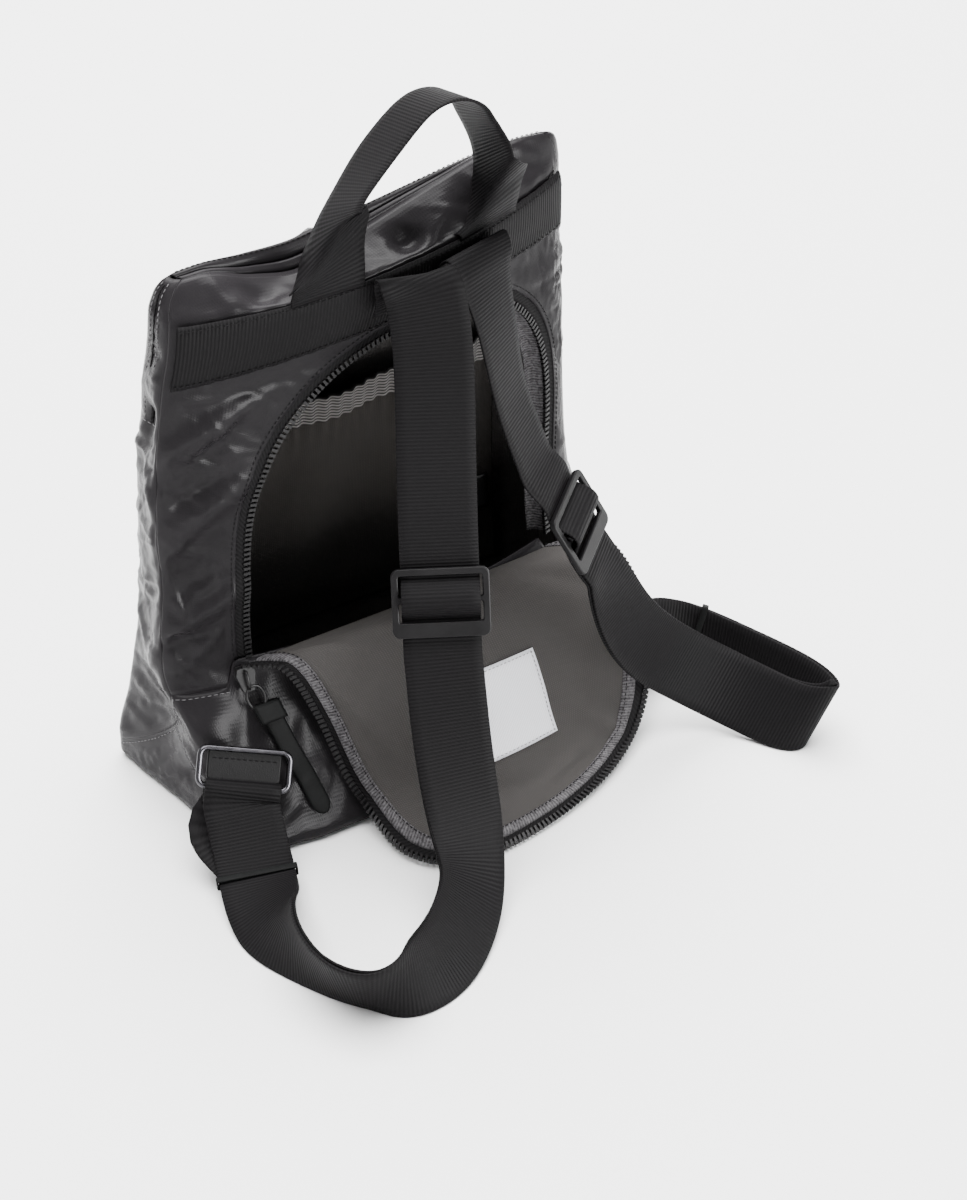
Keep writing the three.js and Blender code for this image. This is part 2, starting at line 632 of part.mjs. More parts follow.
function handleRoute() {
  const last = HANDLE_ROUTE.length - 1;
  const foot = (row) => {
    const sewn = sewnAt(row, BAND_HIGH, WEBBING_THICK / 2);
    const { wx, wy, wz } = sewn;
    const up = vec(-wx * wz, -wy * wz, 1 - wz * wz).normalize();
    const at = (d) => ({ ...sewn, x: sewn.x + up.x * d, y: sewn.y + up.y * d, z: sewn.z + up.z * d });
    return [at(sewn.rise + CLEAR), at(sewn.rise + 6)];
  };
  return [...foot(HANDLE_ROUTE[0]), ...HANDLE_ROUTE.slice(1, last), ...foot(HANDLE_ROUTE[last]).reverse()];
}
add('carry_handle', ribbon(stationsAlong(handleRoute(), 8), WEBBING_WIDTH, WEBBING_THICK), WEBBING);

// Axes of a slider: along its webbing, across it, and out of its face
function sliderFrame(place, before, after) {
  const along = vec(after.x - before.x, after.y - before.y, after.z - before.z).normalize();
  const across = vec(place.wx, place.wy, place.wz);
  across.addScaledVector(along, -across.dot(along)).normalize();
  const out = across.clone().cross(along).normalize();
  return { at: vec(place.x, place.y, place.z), along, across, out };
}
function ringFrame(ring) {
  const long = vec(ring.lx, ring.ly, ring.lz).normalize();
  const short = vec(ring.sx, ring.sy, ring.sz);
  short.addScaledVector(long, -short.dot(long)).normalize();
  const out = long.clone().cross(short).normalize();
  if (out.y > 0) out.negate();
  return { at: vec(ring.x, ring.y, ring.z), long, short, out };
}

// Shoulder strap: single from the band to the slider, over its middle bar, down to the ring, round it,
// and back along itself to the slider, where its end goes round the middle bar.
const LAYER = WEBBING_THICK / 2 + CLEAR / 2 + 0.1;
const BAR_TURN = Math.hypot(SLIDER.bar, SLIDER.thick / 2) + CLEAR + WEBBING_THICK / 2;
const RING_TURN = RING.wire / Math.SQRT2 + CLEAR + WEBBING_THICK / 2;
function eased(station, i, all) {
  if (i === 0 || i === all.length - 1) return station;
  const between = (a, b, c) => a.clone().add(c).multiplyScalar(0.25).addScaledVector(b, 0.5);
  return {
    at: between(all[i - 1].at, station.at, all[i + 1].at),
    across: between(all[i - 1].across, station.across, all[i + 1].across).normalize(),
  };
}
function shoulderStrap(sewnOn, route, slider, lower, ring, fromRing) {
  const sewn = sewnOn.map(({ level, gap }) => sewnAt(route[0], level, WEBBING_THICK + gap));
  const upper = [...sewn, ...route.slice(1)];
  const frame = sliderFrame(slider, upper[upper.length - 1], lower[0]);
  const hoop = ringFrame(ring);
  const facing = frame.out.y < 0 ? 1 : -1;
  const inSlider = (t, n) => frame.at.clone()
    .addScaledVector(frame.along, t).addScaledVector(frame.out, n * facing);
  const behind = -(SLIDER.thick / 2 + CLEAR + WEBBING_THICK / 2);
  const crest = BAR_TURN + WEBBING_THICK + CLEAR;
  const weave = [
    [-21, behind + 0.9], [-17, behind], [-13.2, behind], [-10, -0.4], [-7, 2.3],
    [-4.4, crest - 0.6], [SLIDER.barAt, crest], [1, crest - 0.5], [3.2, 2.3], [5.4, -0.2],
    [7.6, behind + 0.3], [9.3, behind - 0.05], [13, behind], [17, behind], [21, behind + 0.3],
  ];
  const deep = behind - 2 * LAYER;
  const back = [[21, deep + 0.3], [17, deep], [10, deep], [5, deep + 0.6], [1.5, -BAR_TURN - 0.2]];
  const turn = steps(8, -90, 80).map((degrees) => {
    const a = degrees * Math.PI / 180;
    return [SLIDER.barAt - BAR_TURN * Math.cos(a), BAR_TURN * Math.sin(a)];
  });
  const across = frame.across;
  const station = ([t, n]) => ({ at: inSlider(t, n), across });
  const bar = hoop.at.clone().addScaledVector(hoop.short, RING.height / 2 - RING.wire / 2);
  const endAcross = hoop.long.clone();
  const lastAcross = lower[lower.length - 1];
  if (endAcross.dot(vec(lastAcross.wx, lastAcross.wy, lastAcross.wz)) < 0) endAcross.negate();
  const outSide = hoop.out.clone().addScaledVector(hoop.short, 0.25).normalize();
  const inward = hoop.short.clone().addScaledVector(hoop.out, -0.25).negate().normalize();
  const ringEnd = bar.clone().addScaledVector(inward, -9);
  const first = inSlider(27, behind - LAYER + 0.6);
  const row = (p, w) => ({ x: p.x, y: p.y, z: p.z, wx: w.x, wy: w.y, wz: w.z });
  let middle = stationsAlong([row(first, across), ...lower, row(ringEnd, endAcross)], STATION);
  for (let pass = 0; pass < 4; pass += 1) middle = middle.map(eased);
  const keeperAt = middle.length - 1 - Math.round(fromRing / STATION);
  const slackAt = (i) => {
    const share = clamp01((i - keeperAt - 1) / (middle.length - 2 - keeperAt));
    return Math.sin(Math.PI * share) ** 2;
  };
  const layer = (sign, slack = 0) => middle.map((s, i) => {
    const a = middle[Math.max(0, i - 1)].at;
    const b = middle[Math.min(middle.length - 1, i + 1)].at;
    const face = s.across.clone().cross(b.clone().sub(a)).normalize();
    const wider = mix(LAYER, RING_TURN, ease(middle.length - 6, middle.length - 1, i));
    const keep = face.dot(outSide) >= 0 ? 1 : -1;
    const at = s.at.clone().addScaledVector(face, sign * wider);
    return { at: at.addScaledVector(vec(...ring.slack), slack * slackAt(i)), across: s.across, keep };
  });
  const lastKeep = layer(1)[middle.length - 1].keep;
  const firstFace = middle[0].across.clone().cross(middle[1].at.clone().sub(middle[0].at));
  const frontSign = firstFace.dot(inSlider(0, 1).sub(inSlider(0, 0))) >= 0 ? 1 : -1;
  const goesOutside = frontSign * lastKeep;
  const round = steps(6, -90, 90).map((degrees) => {
    const a = degrees * Math.PI / 180;
    return {
      at: bar.clone().addScaledVector(inward, RING_TURN * Math.cos(a))
        .addScaledVector(outSide, -goesOutside * RING_TURN * Math.sin(a)),
      across: endAcross,
    };
  });
  const keeperWay = middle[keeperAt + 1].at.clone().sub(middle[keeperAt - 1].at).normalize();
  const keeper = { ...middle[keeperAt], along: keeperWay };
  const stations = [...stationsAlong(upper, 12), ...weave.map(station), ...layer(frontSign), ...round,
    ...layer(-frontSign, 1).reverse(), ...back.map(station), ...turn.map(station)];
  return { stations, keeper };
}
const leftStrap = shoulderStrap(LEFT_SEWN, LEFT_UPPER, LEFT_SLIDER, LEFT_LOWER, LEFT_RING, LEFT_KEEPER);
const rightStrap = shoulderStrap(RIGHT_SEWN, RIGHT_UPPER, RIGHT_SLIDER, RIGHT_LOWER, RIGHT_RING,
  RIGHT_KEEPER);
add('shoulder_strap_left', ribbon(leftStrap.stations, WEBBING_WIDTH, WEBBING_THICK), WEBBING);
add('shoulder_strap_right', ribbon(rightStrap.stations, WEBBING_WIDTH, WEBBING_THICK), WEBBING);

// Flat frames cut from a plate: sliders with two windows, rings with one
function roundedPath(path, x0, y0, x1, y1, r) {
  path.moveTo(x0 + r, y0);
  path.lineTo(x1 - r, y0);
  path.quadraticCurveTo(x1, y0, x1, y0 + r);
  path.lineTo(x1, y1 - r);
  path.quadraticCurveTo(x1, y1, x1 - r, y1);
  path.lineTo(x0 + r, y1);
  path.quadraticCurveTo(x0, y1, x0, y1 - r);
  path.lineTo(x0, y0 + r);
  path.quadraticCurveTo(x0, y0, x0 + r, y0);
  return path;
}
function plate(shape, thick, at, xAxis, yAxis, zAxis) {
  const options = { depth: thick, bevelEnabled: false, curveSegments: 3 };
  const geometry = new THREE.ExtrudeGeometry(shape, options);
  geometry.translate(0, 0, -thick / 2);
  geometry.applyMatrix4(new THREE.Matrix4().makeBasis(xAxis, yAxis, zAxis).setPosition(at));
  return welded(geometry);
}
function welded(geometry) {
  const p = geometry.getAttribute('position');
  const positions = [];
  const seen = new Map();
  const index = [];
  for (let i = 0; i < p.count; i += 1) {
    const key = `${p.getX(i).toFixed(3)},${p.getY(i).toFixed(3)},${p.getZ(i).toFixed(3)}`;
    if (!seen.has(key)) {
      seen.set(key, positions.length / 3);
      positions.push(p.getX(i), p.getY(i), p.getZ(i));
    }
    index.push(seen.get(key));
  }
  const result = new THREE.BufferGeometry();
  result.setAttribute('position', new THREE.Float32BufferAttribute(positions, 3));
  result.setIndex(index);
  return facingOut(result);
}
function strapSlider(place, before, after) {
  const frame = sliderFrame(place, before, after);
  const w = SLIDER.width / 2;
  const h = SLIDER.height / 2;
  const inner = w - SLIDER.rim;
  const shape = roundedPath(new THREE.Shape(), -w, -h, w, h, 4);
  const { rim, barAt, bar, lowBar } = SLIDER;
  shape.holes.push(roundedPath(new THREE.Path(), -inner, -h + rim, inner, barAt - bar, 1));
  shape.holes.push(roundedPath(new THREE.Path(), -inner, barAt + bar, inner, h - lowBar, 1));
  return plate(shape, SLIDER.thick, frame.at, frame.across, frame.along, frame.out);
}
add('strap_slider_left', strapSlider(LEFT_SLIDER, LEFT_UPPER.at(-1), LEFT_LOWER[0]), ACETAL);
add('strap_slider_right', strapSlider(RIGHT_SLIDER, RIGHT_UPPER.at(-1), RIGHT_LOWER[0]), ACETAL);
function wireRing(ring) {
  const frame = ringFrame(ring);
  const w = RING.length / 2;
  const h = RING.height / 2;
  const shape = roundedPath(new THREE.Shape(), -w, -h, w, h, 4);
  const [inW, inH] = [w - RING.wire, h - RING.wire];
  shape.holes.push(roundedPath(new THREE.Path(), -inW, -inH, inW, inH, 2));
  return plate(shape, RING.wire, frame.at, frame.long, frame.short, frame.out);
}
add('base_ring_left', wireRing(LEFT_RING), GUNMETAL);
add('base_ring_right', wireRing(RIGHT_RING), GUNMETAL);

// Leather patch behind each ring, from its stitched upper edge down to the strap
function ringTab(ring) {
  const frame = ringFrame(ring);
  const shape = roundedPath(new THREE.Shape(), -18.5, -9.5, 18.5, 4, 2);
  const at = frame.at.clone().addScaledVector(frame.out, -(RING.wire / 2 + CLEAR + 1.1));
  return plate(shape, 2.2, at, frame.long, frame.short, frame.out);
}
add('ring_tab_left', ringTab(LEFT_RING), LEATHER);
add('ring_tab_right', ringTab(RIGHT_RING), LEATHER);

// Keeper: a thin loop round both layers of a strap
function strapKeeper(keeper) {
  const { at, across, along } = keeper;
  const out = across.clone().cross(along).normalize();
  const side = along.clone().cross(out).normalize();
  const w = WEBBING_WIDTH / 2 + 3 * CLEAR;
  const h = LAYER + WEBBING_THICK / 2 + 4 * CLEAR;
  const wall = 1.3;
  const shape = roundedPath(new THREE.Shape(), -w - wall, -h - wall, w + wall, h + wall, 1.2);
  shape.holes.push(roundedPath(new THREE.Path(), -w, -h, w, h, 0.3));
  return plate(shape, 3.4, at, side, out, side.clone().cross(out));
}
add('strap_keeper_left', strapKeeper(leftStrap.keeper), RUBBER);
add('strap_keeper_right', strapKeeper(rightStrap.keeper), RUBBER);

// Zip slider at the left foot of the mouth, and its long rounded pull lying on the base
const backOut = (x, z, height) => skin(backGirth(x, z), z, -height);
function zipSlider() {
  const at = backOut(-95, 79, 5.6);
  const out = skinNormal(backGirth(-95, 79.5), 79.5);
  const up = out.clone().cross(vec(1, 0, 0)).normalize();
  const across = up.clone().cross(out).normalize();
  const shape = new THREE.Shape();
  shape.moveTo(-3, -6.5);
  shape.lineTo(3, -6.5);
  shape.lineTo(5.2, 3);
  shape.lineTo(4, 6.5);
  shape.lineTo(-4, 6.5);
  shape.lineTo(-5.2, 3);
  return plate(shape, 5, at, across, up, out);
}
add('zip_slider', zipSlider(), ZIPPER);
function zipPull() {
  const length = steps(9);
  const middle = (t) => ({ x: mix(-90, -74, t ** 0.8), z: mix(73, 14, t) });
  const half = (t) => mix(4.6, 6, ease(0, 0.25, t)) * Math.sqrt(1 - clamp01((t - 0.88) / 0.125) ** 2);
  const points = (height) => grid(length, [-1, 0, 1], (t, side) => {
    const m = middle(t);
    return backOut(m.x + side * half(t), m.z + side * 0.22 * half(t), height + 2.6 * ease(0.3, 0, t));
  });
  return shell(points(3.6), points(1.4));
}
add('zip_pull', zipPull(), RUBBER);

// Slip pocket on the inside of the front panel, its ribbed elastic top, and a small sewn-in label
const POCKET = { low: 40, high: 184, from: 3.12, to: 3.88 };
const pocketDepth = (g, z) => {
  const f = (g - POCKET.from) / (POCKET.to - POCKET.from);
  const loose = (1 - Math.abs(2 * f - 1) ** 4) * ease(POCKET.low, POCKET.low + 60, z);
  return WALL + 1 + 13 * loose;
};
function innerPocket(levels, front, back) {
  const girths = steps(12, POCKET.from, POCKET.to);
  const points = (extra) => grid(levels, girths, (z, g) => skin(g, z, pocketDepth(g, z) + extra));
  return shell(points(front), points(back));
}
const pocketRows = [...steps(5, POCKET.low, POCKET.high - 14), POCKET.high];
add('inner_pocket', innerPocket(pocketRows, 0, 1.2), LINING);
add('pocket_elastic', innerPocket(pocketRows.slice(-2), 1.5, 2.7), TAPE);
function innerLabel() {
  const points = (extra) => grid(steps(2, 84, 104), steps(2, 3.14, 3.235),
    (z, g) => skin(g, z, pocketDepth(g, z) + extra));
  return shell(points(1.9), points(2.7));
}
add('inner_label', innerLabel(), LEATHER);

export default group;
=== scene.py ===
import math

import bmesh
import bpy
import numpy as np
from mathutils import Matrix, Vector


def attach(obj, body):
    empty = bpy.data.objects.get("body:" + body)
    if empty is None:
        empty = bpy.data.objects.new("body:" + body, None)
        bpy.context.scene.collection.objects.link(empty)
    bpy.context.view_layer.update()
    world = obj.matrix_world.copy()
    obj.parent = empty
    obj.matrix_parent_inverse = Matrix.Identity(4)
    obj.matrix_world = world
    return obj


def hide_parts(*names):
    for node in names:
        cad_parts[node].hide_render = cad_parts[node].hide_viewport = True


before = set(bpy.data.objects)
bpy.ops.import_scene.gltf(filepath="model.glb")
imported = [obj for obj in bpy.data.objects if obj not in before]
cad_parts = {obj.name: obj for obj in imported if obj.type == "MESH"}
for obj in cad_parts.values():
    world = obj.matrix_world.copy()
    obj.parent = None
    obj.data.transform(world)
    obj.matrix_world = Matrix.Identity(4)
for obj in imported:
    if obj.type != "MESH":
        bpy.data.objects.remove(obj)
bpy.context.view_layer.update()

# Camera
# A long lens looks down at the opened back of the bag from its left side.
CAMERA_RIGHT = (0.8387, -0.5446, 0.0)
CAMERA_UP = (0.3201, 0.4930, 0.8090)
CAMERA_BACK = (-0.4406, -0.6785, 0.5878)
CAMERA_PLACE = (-0.6293, -1.0565, 0.9717)


def placed(name, data):
    """A new object, put into the scene."""
    made = bpy.data.objects.new(name, data)
    bpy.context.collection.objects.link(made)
    return made


camera_data = bpy.data.cameras.new("camera")
camera_data.lens = 88.65
camera_data.sensor_width = 36.0
camera = placed("camera", camera_data)
turned = Matrix((CAMERA_RIGHT, CAMERA_UP, CAMERA_BACK)).transposed().to_4x4()
camera.matrix_world = Matrix.Translation(CAMERA_PLACE) @ turned
bpy.context.scene.camera = camera


# Studio
# A pale painted floor under even white light from soft boxes and a broad sun; a large card that shows
# only in shine gives the coated cloth its long soft highlights.
def srgb(text):
    """Linear colour of an sRGB hex value."""
    parts = [int(text[k:k + 2], 16) / 255.0 for k in (1, 3, 5)]
    linear = [p / 12.92 if p <= 0.04045 else ((p + 0.055) / 1.055) ** 2.4 for p in parts]
    return (*linear, 1.0)


def node(tree, kind, inputs=None, **settings):
    """Adds a node with its settings; an input is a value or another node's output."""
    made = tree.nodes.new(kind)
    for name, value in settings.items():
        setattr(made, name, value)
    for key, value in (inputs or {}).items():
        if isinstance(value, bpy.types.NodeSocket):
            tree.links.new(value, made.inputs[key])
        else:
            made.inputs[key].default_value = value
    return made


def new_material(name, **sockets):
    """An empty material with a Principled shader; sockets are set by name."""
    made = bpy.data.materials.new(name)
    made.use_nodes = True
    tree = made.node_tree
    tree.nodes.clear()
    shader = node(tree, "ShaderNodeBsdfPrincipled", {k.replace("_", " "): v for k, v in sockets.items()})
    node(tree, "ShaderNodeOutputMaterial", {"Surface": shader.outputs["BSDF"]})
    return made, tree, shader


def speckle(tree, scale, detail=2.0, rough=0.5, distortion=0.0, **settings):
    """Noise that sits on the object."""
    place = node(tree, "ShaderNodeTexCoord")
    noise = node(tree, "ShaderNodeTexNoise", {
        "Vector": place.outputs["Object"], "Scale": scale, "Detail": detail, "Roughness": rough,
        "Distortion": distortion}, **settings)
    return noise.outputs["Fac"]


def two_tone(tree, factor, dark, light):
    """The colour between two others; each is an sRGB hex value or another node's output."""
    dark, light = (srgb(tone) if isinstance(tone, str) else tone for tone in (dark, light))
    mix = node(tree, "ShaderNodeMix", {"Factor": factor, "A": dark, "B": light}, data_type="RGBA")
    return mix.outputs["Result"]


def mottled(name, dark, light, scale, detail=2.0, rough=0.5, **sockets):
    """A material of two tones that run into each other, with its tree, its shader and the pattern."""
    made, tree, shader = new_material(name, **sockets)
    pattern = speckle(tree, scale, detail, rough)
    tree.links.new(two_tone(tree, pattern, dark, light), shader.inputs["Base Color"])
    return made, tree, shader, pattern


floor_paint = mottled("matte_floor_paint", "#f0f0f0", "#efefef", 3.0, Roughness=0.9)[0]
floor_mesh = bpy.data.meshes.new("floor")
floor_mesh.from_pydata([(-9, -9, 0), (9, -9, 0), (9, 9, 0), (-9, 9, 0)], [], [(0, 1, 2, 3)])
floor_mesh.materials.append(floor_paint)
floor = placed("floor", floor_mesh)

world = bpy.data.worlds.new("studio")
world.use_nodes = True
world.node_tree.nodes["Background"].inputs["Color"].default_value = (1.0, 1.0, 1.0, 1.0)
world.node_tree.nodes["Background"].inputs["Strength"].default_value = 0.4
bpy.context.scene.world = world

LAMPS = [
    # name, kind, place, aimed at, size, power, whether it lights matte surfaces or only shows in shine
    ("top_box", "AREA", (0.5, 0.9, 1.4), (0.0, 0.0, 0.2), 1.1, 32.0, True),
    ("left_box", "AREA", (-1.5, -0.7, 1.2), (0.0, 0.0, 0.15), 0.6, 4.0, True),
    ("front_card", "AREA", (0.85, -2.3, 0.85), (0.0, 0.0, 0.15), 1.7, 360.0, False),
    ("overhead", "SUN", (0.2, 0.6, 3.0), (0.0, 0.0, 0.0), 1.1, 14.0, True),
]
for name, kind, spot, target, size, power, matte in LAMPS:
    lamp = bpy.data.lights.new(name, kind)
    lamp.energy = power
    if kind == "AREA":
        lamp.size = size
    else:
        lamp.angle = size
    lamp_object = placed(name, lamp)
    lamp_object.rotation_euler = (Vector(spot) - Vector(target)).to_track_quat("Z", "Y").to_euler()
    lamp_object.location = spot
    lamp_object.visible_diffuse = matte
    lamp_object.visible_camera = False


# Gussets, the two narrow side walls of the bag
# Coated nylon with a grey polyester lining, cut as long strips and sewn between front and back.
# The seams at their four long edges give the bag its corners.
MM = 0.001
UP = (0.0, 0.0, 1.0)
RIDGE = 301.0
SEAM_BACK = 75.0
SEAM_FRONT = 8.0
SEAM_RISE = 13.0
WIDE_SIDE = 255.0
NARROW_SIDE = 45.0
SEAM_FADE = 7.0
SHELL_WALL = 1.4
SECTIONS = np.array([
    # level, left corner, right corner, back, depth of the two corners, front half width, edge, front
    [0, 116, 111, -60, -54, -46, 129, 53, 58],
    [4, 120, 115, -64, -58, -49, 135, 57, 62],
    [14, 121, 117, -61, -52, -44, 135, 57, 63],
    [45, 126, 121, -43, -28, -23, 129, 53, 63],
    [88, 134, 123.5, -20, -1, 7, 123, 47, 61],
    [137, 131, 119.5, -17, 0, 11, 119.5, 43, 57],
    [184, 130, 117.5, -14, 1, 13, 118.5, 39, 52],
    [220, 127, 114.5, -11, 1, 13, 117.5, 35, 46],
    [250, 122, 112.5, -10, 2, 13, 116.5, 31, 40],
    [270, 117, 112, -14, 3, 13, 115, 28, 36],
    [284, 114, 111, -15, 5, 13, 115, 26, 32],
    [293, 110, 110, -3, 9, 13.5, 113, 24, 27.5],
    [298.5, 106, 107, 6.5, 11, 13, 110, 21.5, 23],
    [RIDGE, 102, 104, 12.5, 12.8, 13, 105.5, 19.6, 20],
])
RIDGE_LIFT = np.array([
    # across, up
    [-112, -1], [-90, -2], [-64, -12], [-40, -18], [-15, -12], [5, -7], [36, 0], [62, 5], [80, 6], [105, 2],
])
CORNER_RADII = np.array([8.0, 9.0, 14.0, 10.0])
FOLDS = [
    # girth, level, lean in degrees, half length, half width, height
    (1.1, 226, 66, 34, 7, 4.2), (1.08, 206, 60, 36, 9, -2.2), (1.1, 178, 60, 36, 7, 4.0),
    (1.07, 146, 40, 30, 10, -1.8), (1.09, 120, 64, 32, 7, 4.0), (1.2, 290, 20, 14, 11, -4),
    (1.55, 289, -24, 16, 10, -6), (1.64, 291, 30, 14, 10, 3), (1.95, 226, -30, 30, 10, 3),
    (1.05, 60, 70, 22, 9, 3.5), (0.62, 235, 14, 34, 9, -5), (0.4, 150, -12, 55, 11, 2),
    (0.55, 55, 18, 30, 10, -4), (2.5, 160, 10, 60, 12, -5), (3.3, 210, 55, 60, 16, -4),
    (3.7, 130, -50, 60, 16, 4), (3.5, 60, 82, 80, 14, -3),
    (1.04, 246, 38, 18, 4, 1.6), (1.10, 218, 58, 20, 4, 1.8), (1.03, 196, 30, 16, 4, 1.5),
    (1.09, 190, 64, 22, 4, -1.8), (1.04, 160, 50, 20, 4, 1.7), (1.08, 132, 55, 18, 4, 1.6),
    (1.03, 104, 72, 16, 4, -1.8), (1.09, 100, 40, 18, 4, 1.5), (1.14, 286, 40, 10, 5, 2.2),
    (1.3, 291, 10, 9, 5, 2.0), (1.42, 288, -40, 12, 5, 2.4), (1.72, 290, -10, 10, 5, -1.8),
    (1.84, 291, 24, 10, 5, 1.8), (0.8, 276, 30, 16, 5, 2.2), (0.35, 262, -20, 18, 5, -2.0),
    (0.7, 196, -35, 22, 6, 2.4), (0.3, 214, 25, 24, 6, 2.2), (0.72, 128, 30, 22, 6, -2.4),
    (0.4, 96, -40, 22, 6, 2.4), (0.75, 88, 20, 14, 5, 2.4), (1.03, 40, 62, 14, 5, 2.6),
    (1.1, 52, 30, 16, 5, -2.2), (1.16, 30, 74, 18, 5, 2.0), (0.85, 40, -35, 14, 5, 2.6),
    (0.7, 26, 60, 14, 5, -2.2), (2.3, 230, -25, 30, 6, 2.4), (2.7, 200, 20, 34, 6, -2.6),
    (2.35, 110, 35, 26, 6, 2.4), (2.7, 70, -30, 22, 6, 2.4),
]


def ease(low, high, at):
    """Smooth step from 0 at low to 1 at high."""
    t = np.clip((at - low) / (high - low), 0.0, 1.0)
    return t * t * (3.0 - 2.0 * t)


def between(rows, tangents, i, t, span):
    """Smooth curve from row i of a table to the next one, at the share t of the span between them."""
    ends = rows[i] * (2 * t ** 3 - 3 * t ** 2 + 1) + rows[i + 1] * (3 * t ** 2 - 2 * t ** 3)
    return ends + span * (tangents[i] * (t ** 3 - 2 * t ** 2 + t) + tangents[i + 1] * (t ** 3 - t ** 2))


def smooth_read(table, at):
    """All columns of a table at the given values of its first column, smoothly through the rows."""
    rows = np.asarray(table, float)
    key = rows[:, 0]
    slopes = np.diff(rows, axis=0) / np.diff(key)[:, None]
    same = slopes[:-1] * slopes[1:] > 0
    total = np.where(same, slopes[:-1] + slopes[1:], 1.0)
    inner = np.where(same, 2.0 * slopes[:-1] * slopes[1:] / total, 0.0)
    tangents = np.vstack([slopes[:1], inner, slopes[-1:]])
    value = np.clip(np.asarray(at, float), key[0], key[-1])
    i = np.clip(np.searchsorted(key, value) - 1, 0, len(key) - 2)
    span = (key[i + 1] - key[i])[..., None]
    return between(rows, tangents, i, (value - key[i])[..., None] / span, span)


def level_cut(girth, z):
    """Level outline of the bag; girth is 0 at the front left corner, 1 back left, 2 back right and so on."""
    cut = smooth_read(SECTIONS, z)
    _, left, right, back, deep_left, deep_right, sides, edge, front = np.moveaxis(cut, -1, 0)
    corners = np.stack([
        np.stack([-sides, edge], -1), np.stack([-left, deep_left], -1),
        np.stack([right, deep_right], -1), np.stack([sides, edge], -1)], -2)
    lengths = np.linalg.norm(np.roll(corners, -1, axis=-2) - corners, axis=-1)

    def corner_at(index):
        return np.take_along_axis(corners, np.repeat(index[..., None, None], 2, -1), -2)[..., 0, :]

    def on_side(index, share):
        a = corner_at(index)
        b = corner_at((index + 1) % 4)
        p = a + (b - a) * share[..., None]
        middle = 0.5 * (a[..., 1] + b[..., 1])
        bulge = np.where(index == 1, back - middle, np.where(index == 3, front - middle, 0.0))
        p[..., 1] += bulge * (1.0 - np.abs(2.0 * share - 1.0) ** 2.2)
        return p

    def rounding(index, corner):
        length = np.take_along_axis(lengths, index[..., None], -1)[..., 0]
        return np.minimum(0.45, CORNER_RADII[corner % 4] / np.maximum(1.0, length))

    g = np.mod(girth, 4.0)
    side = np.minimum(3, np.floor(g)).astype(int)
    f = g - side
    start = rounding(side, side)
    end = rounding(side, side + 1)
    corner = np.where(f < start, side, (side + 1) % 4)
    t = np.where(f < start, 0.5 + 0.5 * f / start, 0.5 * (f - 1.0 + end) / end)[..., None]
    before = (corner + 3) % 4
    a = on_side(before, 1.0 - rounding(before, corner))
    b = on_side(corner, rounding(corner, corner))
    curve = (1 - t) ** 2 * a + 2 * t * (1 - t) * corner_at(corner) + t * t * b
    rounded = (f < start) | (f > 1.0 - end)
    return np.where(rounded[..., None], curve, on_side(side, f))


def as_grids(*values):
    """Numbers or arrays as arrays of one shape."""
    return np.broadcast_arrays(*(np.asarray(value, float) for value in values))


def plain_skin(girth, z):
    """The bag's outer surface without folds, in millimetres."""
    girth, z = as_grids(girth, z)
    xy = level_cut(girth, z)
    g = np.mod(girth, 4.0)
    toward_front = np.where(g < 1, 1 - g, np.where(g < 2, 0.0, np.minimum(1.0, g - 2)))
    lift = smooth_read(RIDGE_LIFT, xy[..., 0])[..., 1] * ease(280, RIDGE, z) * (1 - 0.65 * toward_front)
    tilt = 0.07 * xy[..., 0] * ease(150, 265, z)
    return np.stack([xy[..., 0], xy[..., 1], z + tilt + lift], -1)


def unit(v):
    return v / np.maximum(1e-9, np.linalg.norm(v, axis=-1, keepdims=True))


GIRTH_STEP = 0.012
LEVEL_STEP = 1.2


def skin_normal(girth, z):
    """Direction out of the bag's plain surface."""
    girth, z = as_grids(girth, z)
    along = plain_skin(girth + GIRTH_STEP, z) - plain_skin(girth - GIRTH_STEP, z)
    above = plain_skin(girth, np.minimum(RIDGE, z + LEVEL_STEP))
    up = above - plain_skin(girth, np.maximum(0.0, z - LEVEL_STEP))
    return unit(np.cross(along, up))


def ridge(across, up, lean, reach, wide, out):
    """Height of one fold at a place across and up from its middle; it leans by degrees from upright."""
    angle = math.radians(lean)
    along = math.sin(angle) * across + math.cos(angle) * up
    aside = math.cos(angle) * across - math.sin(angle) * up
    return out * np.exp(-1.6 * (along / reach) ** 2 - (aside / wide) ** 2)


def fold_height(girth, z):
    """Height of the cloth's folds over the plain surface; flat under the webbing band."""
    height = np.zeros(np.broadcast(girth, z).shape)
    for at, level, *form in FOLDS:
        side_length = WIDE_SIDE if math.floor(at) % 2 == 1 else NARROW_SIDE
        across = (np.mod(girth - at + 6.0, 4.0) - 2.0) * side_length
        height = height + ridge(across, z - level, *form)
    under_band = ease(232, 247, z) * ease(293, 285, z)
    return height * (1 - under_band) * ease(RIDGE, RIDGE - 10, z) * ease(3, 20, z)


def skin(girth, z, deep=0.0):
    """A point of the bag's cloth, the given depth under its outer surface."""
    girth, z = as_grids(girth, z)
    height = fold_height(girth, z) - deep
    return plain_skin(girth, z) + skin_normal(girth, z) * height[..., None]


def base_seam(girth):
    """Level of the seam round the top of the base."""
    g = np.mod(np.asarray(girth, float), 4.0)
    f = g - np.floor(g)
    back = SEAM_BACK + SEAM_RISE * ease(0.112, 0.142, np.minimum(f, 1 - f))
    rise = (SEAM_BACK - SEAM_FRONT) * f
    sloped = np.where(g < 1, SEAM_FRONT + rise, SEAM_BACK - rise)
    return np.where((g >= 1) & (g < 2), back, np.where(g >= 3, SEAM_FRONT, sloped))


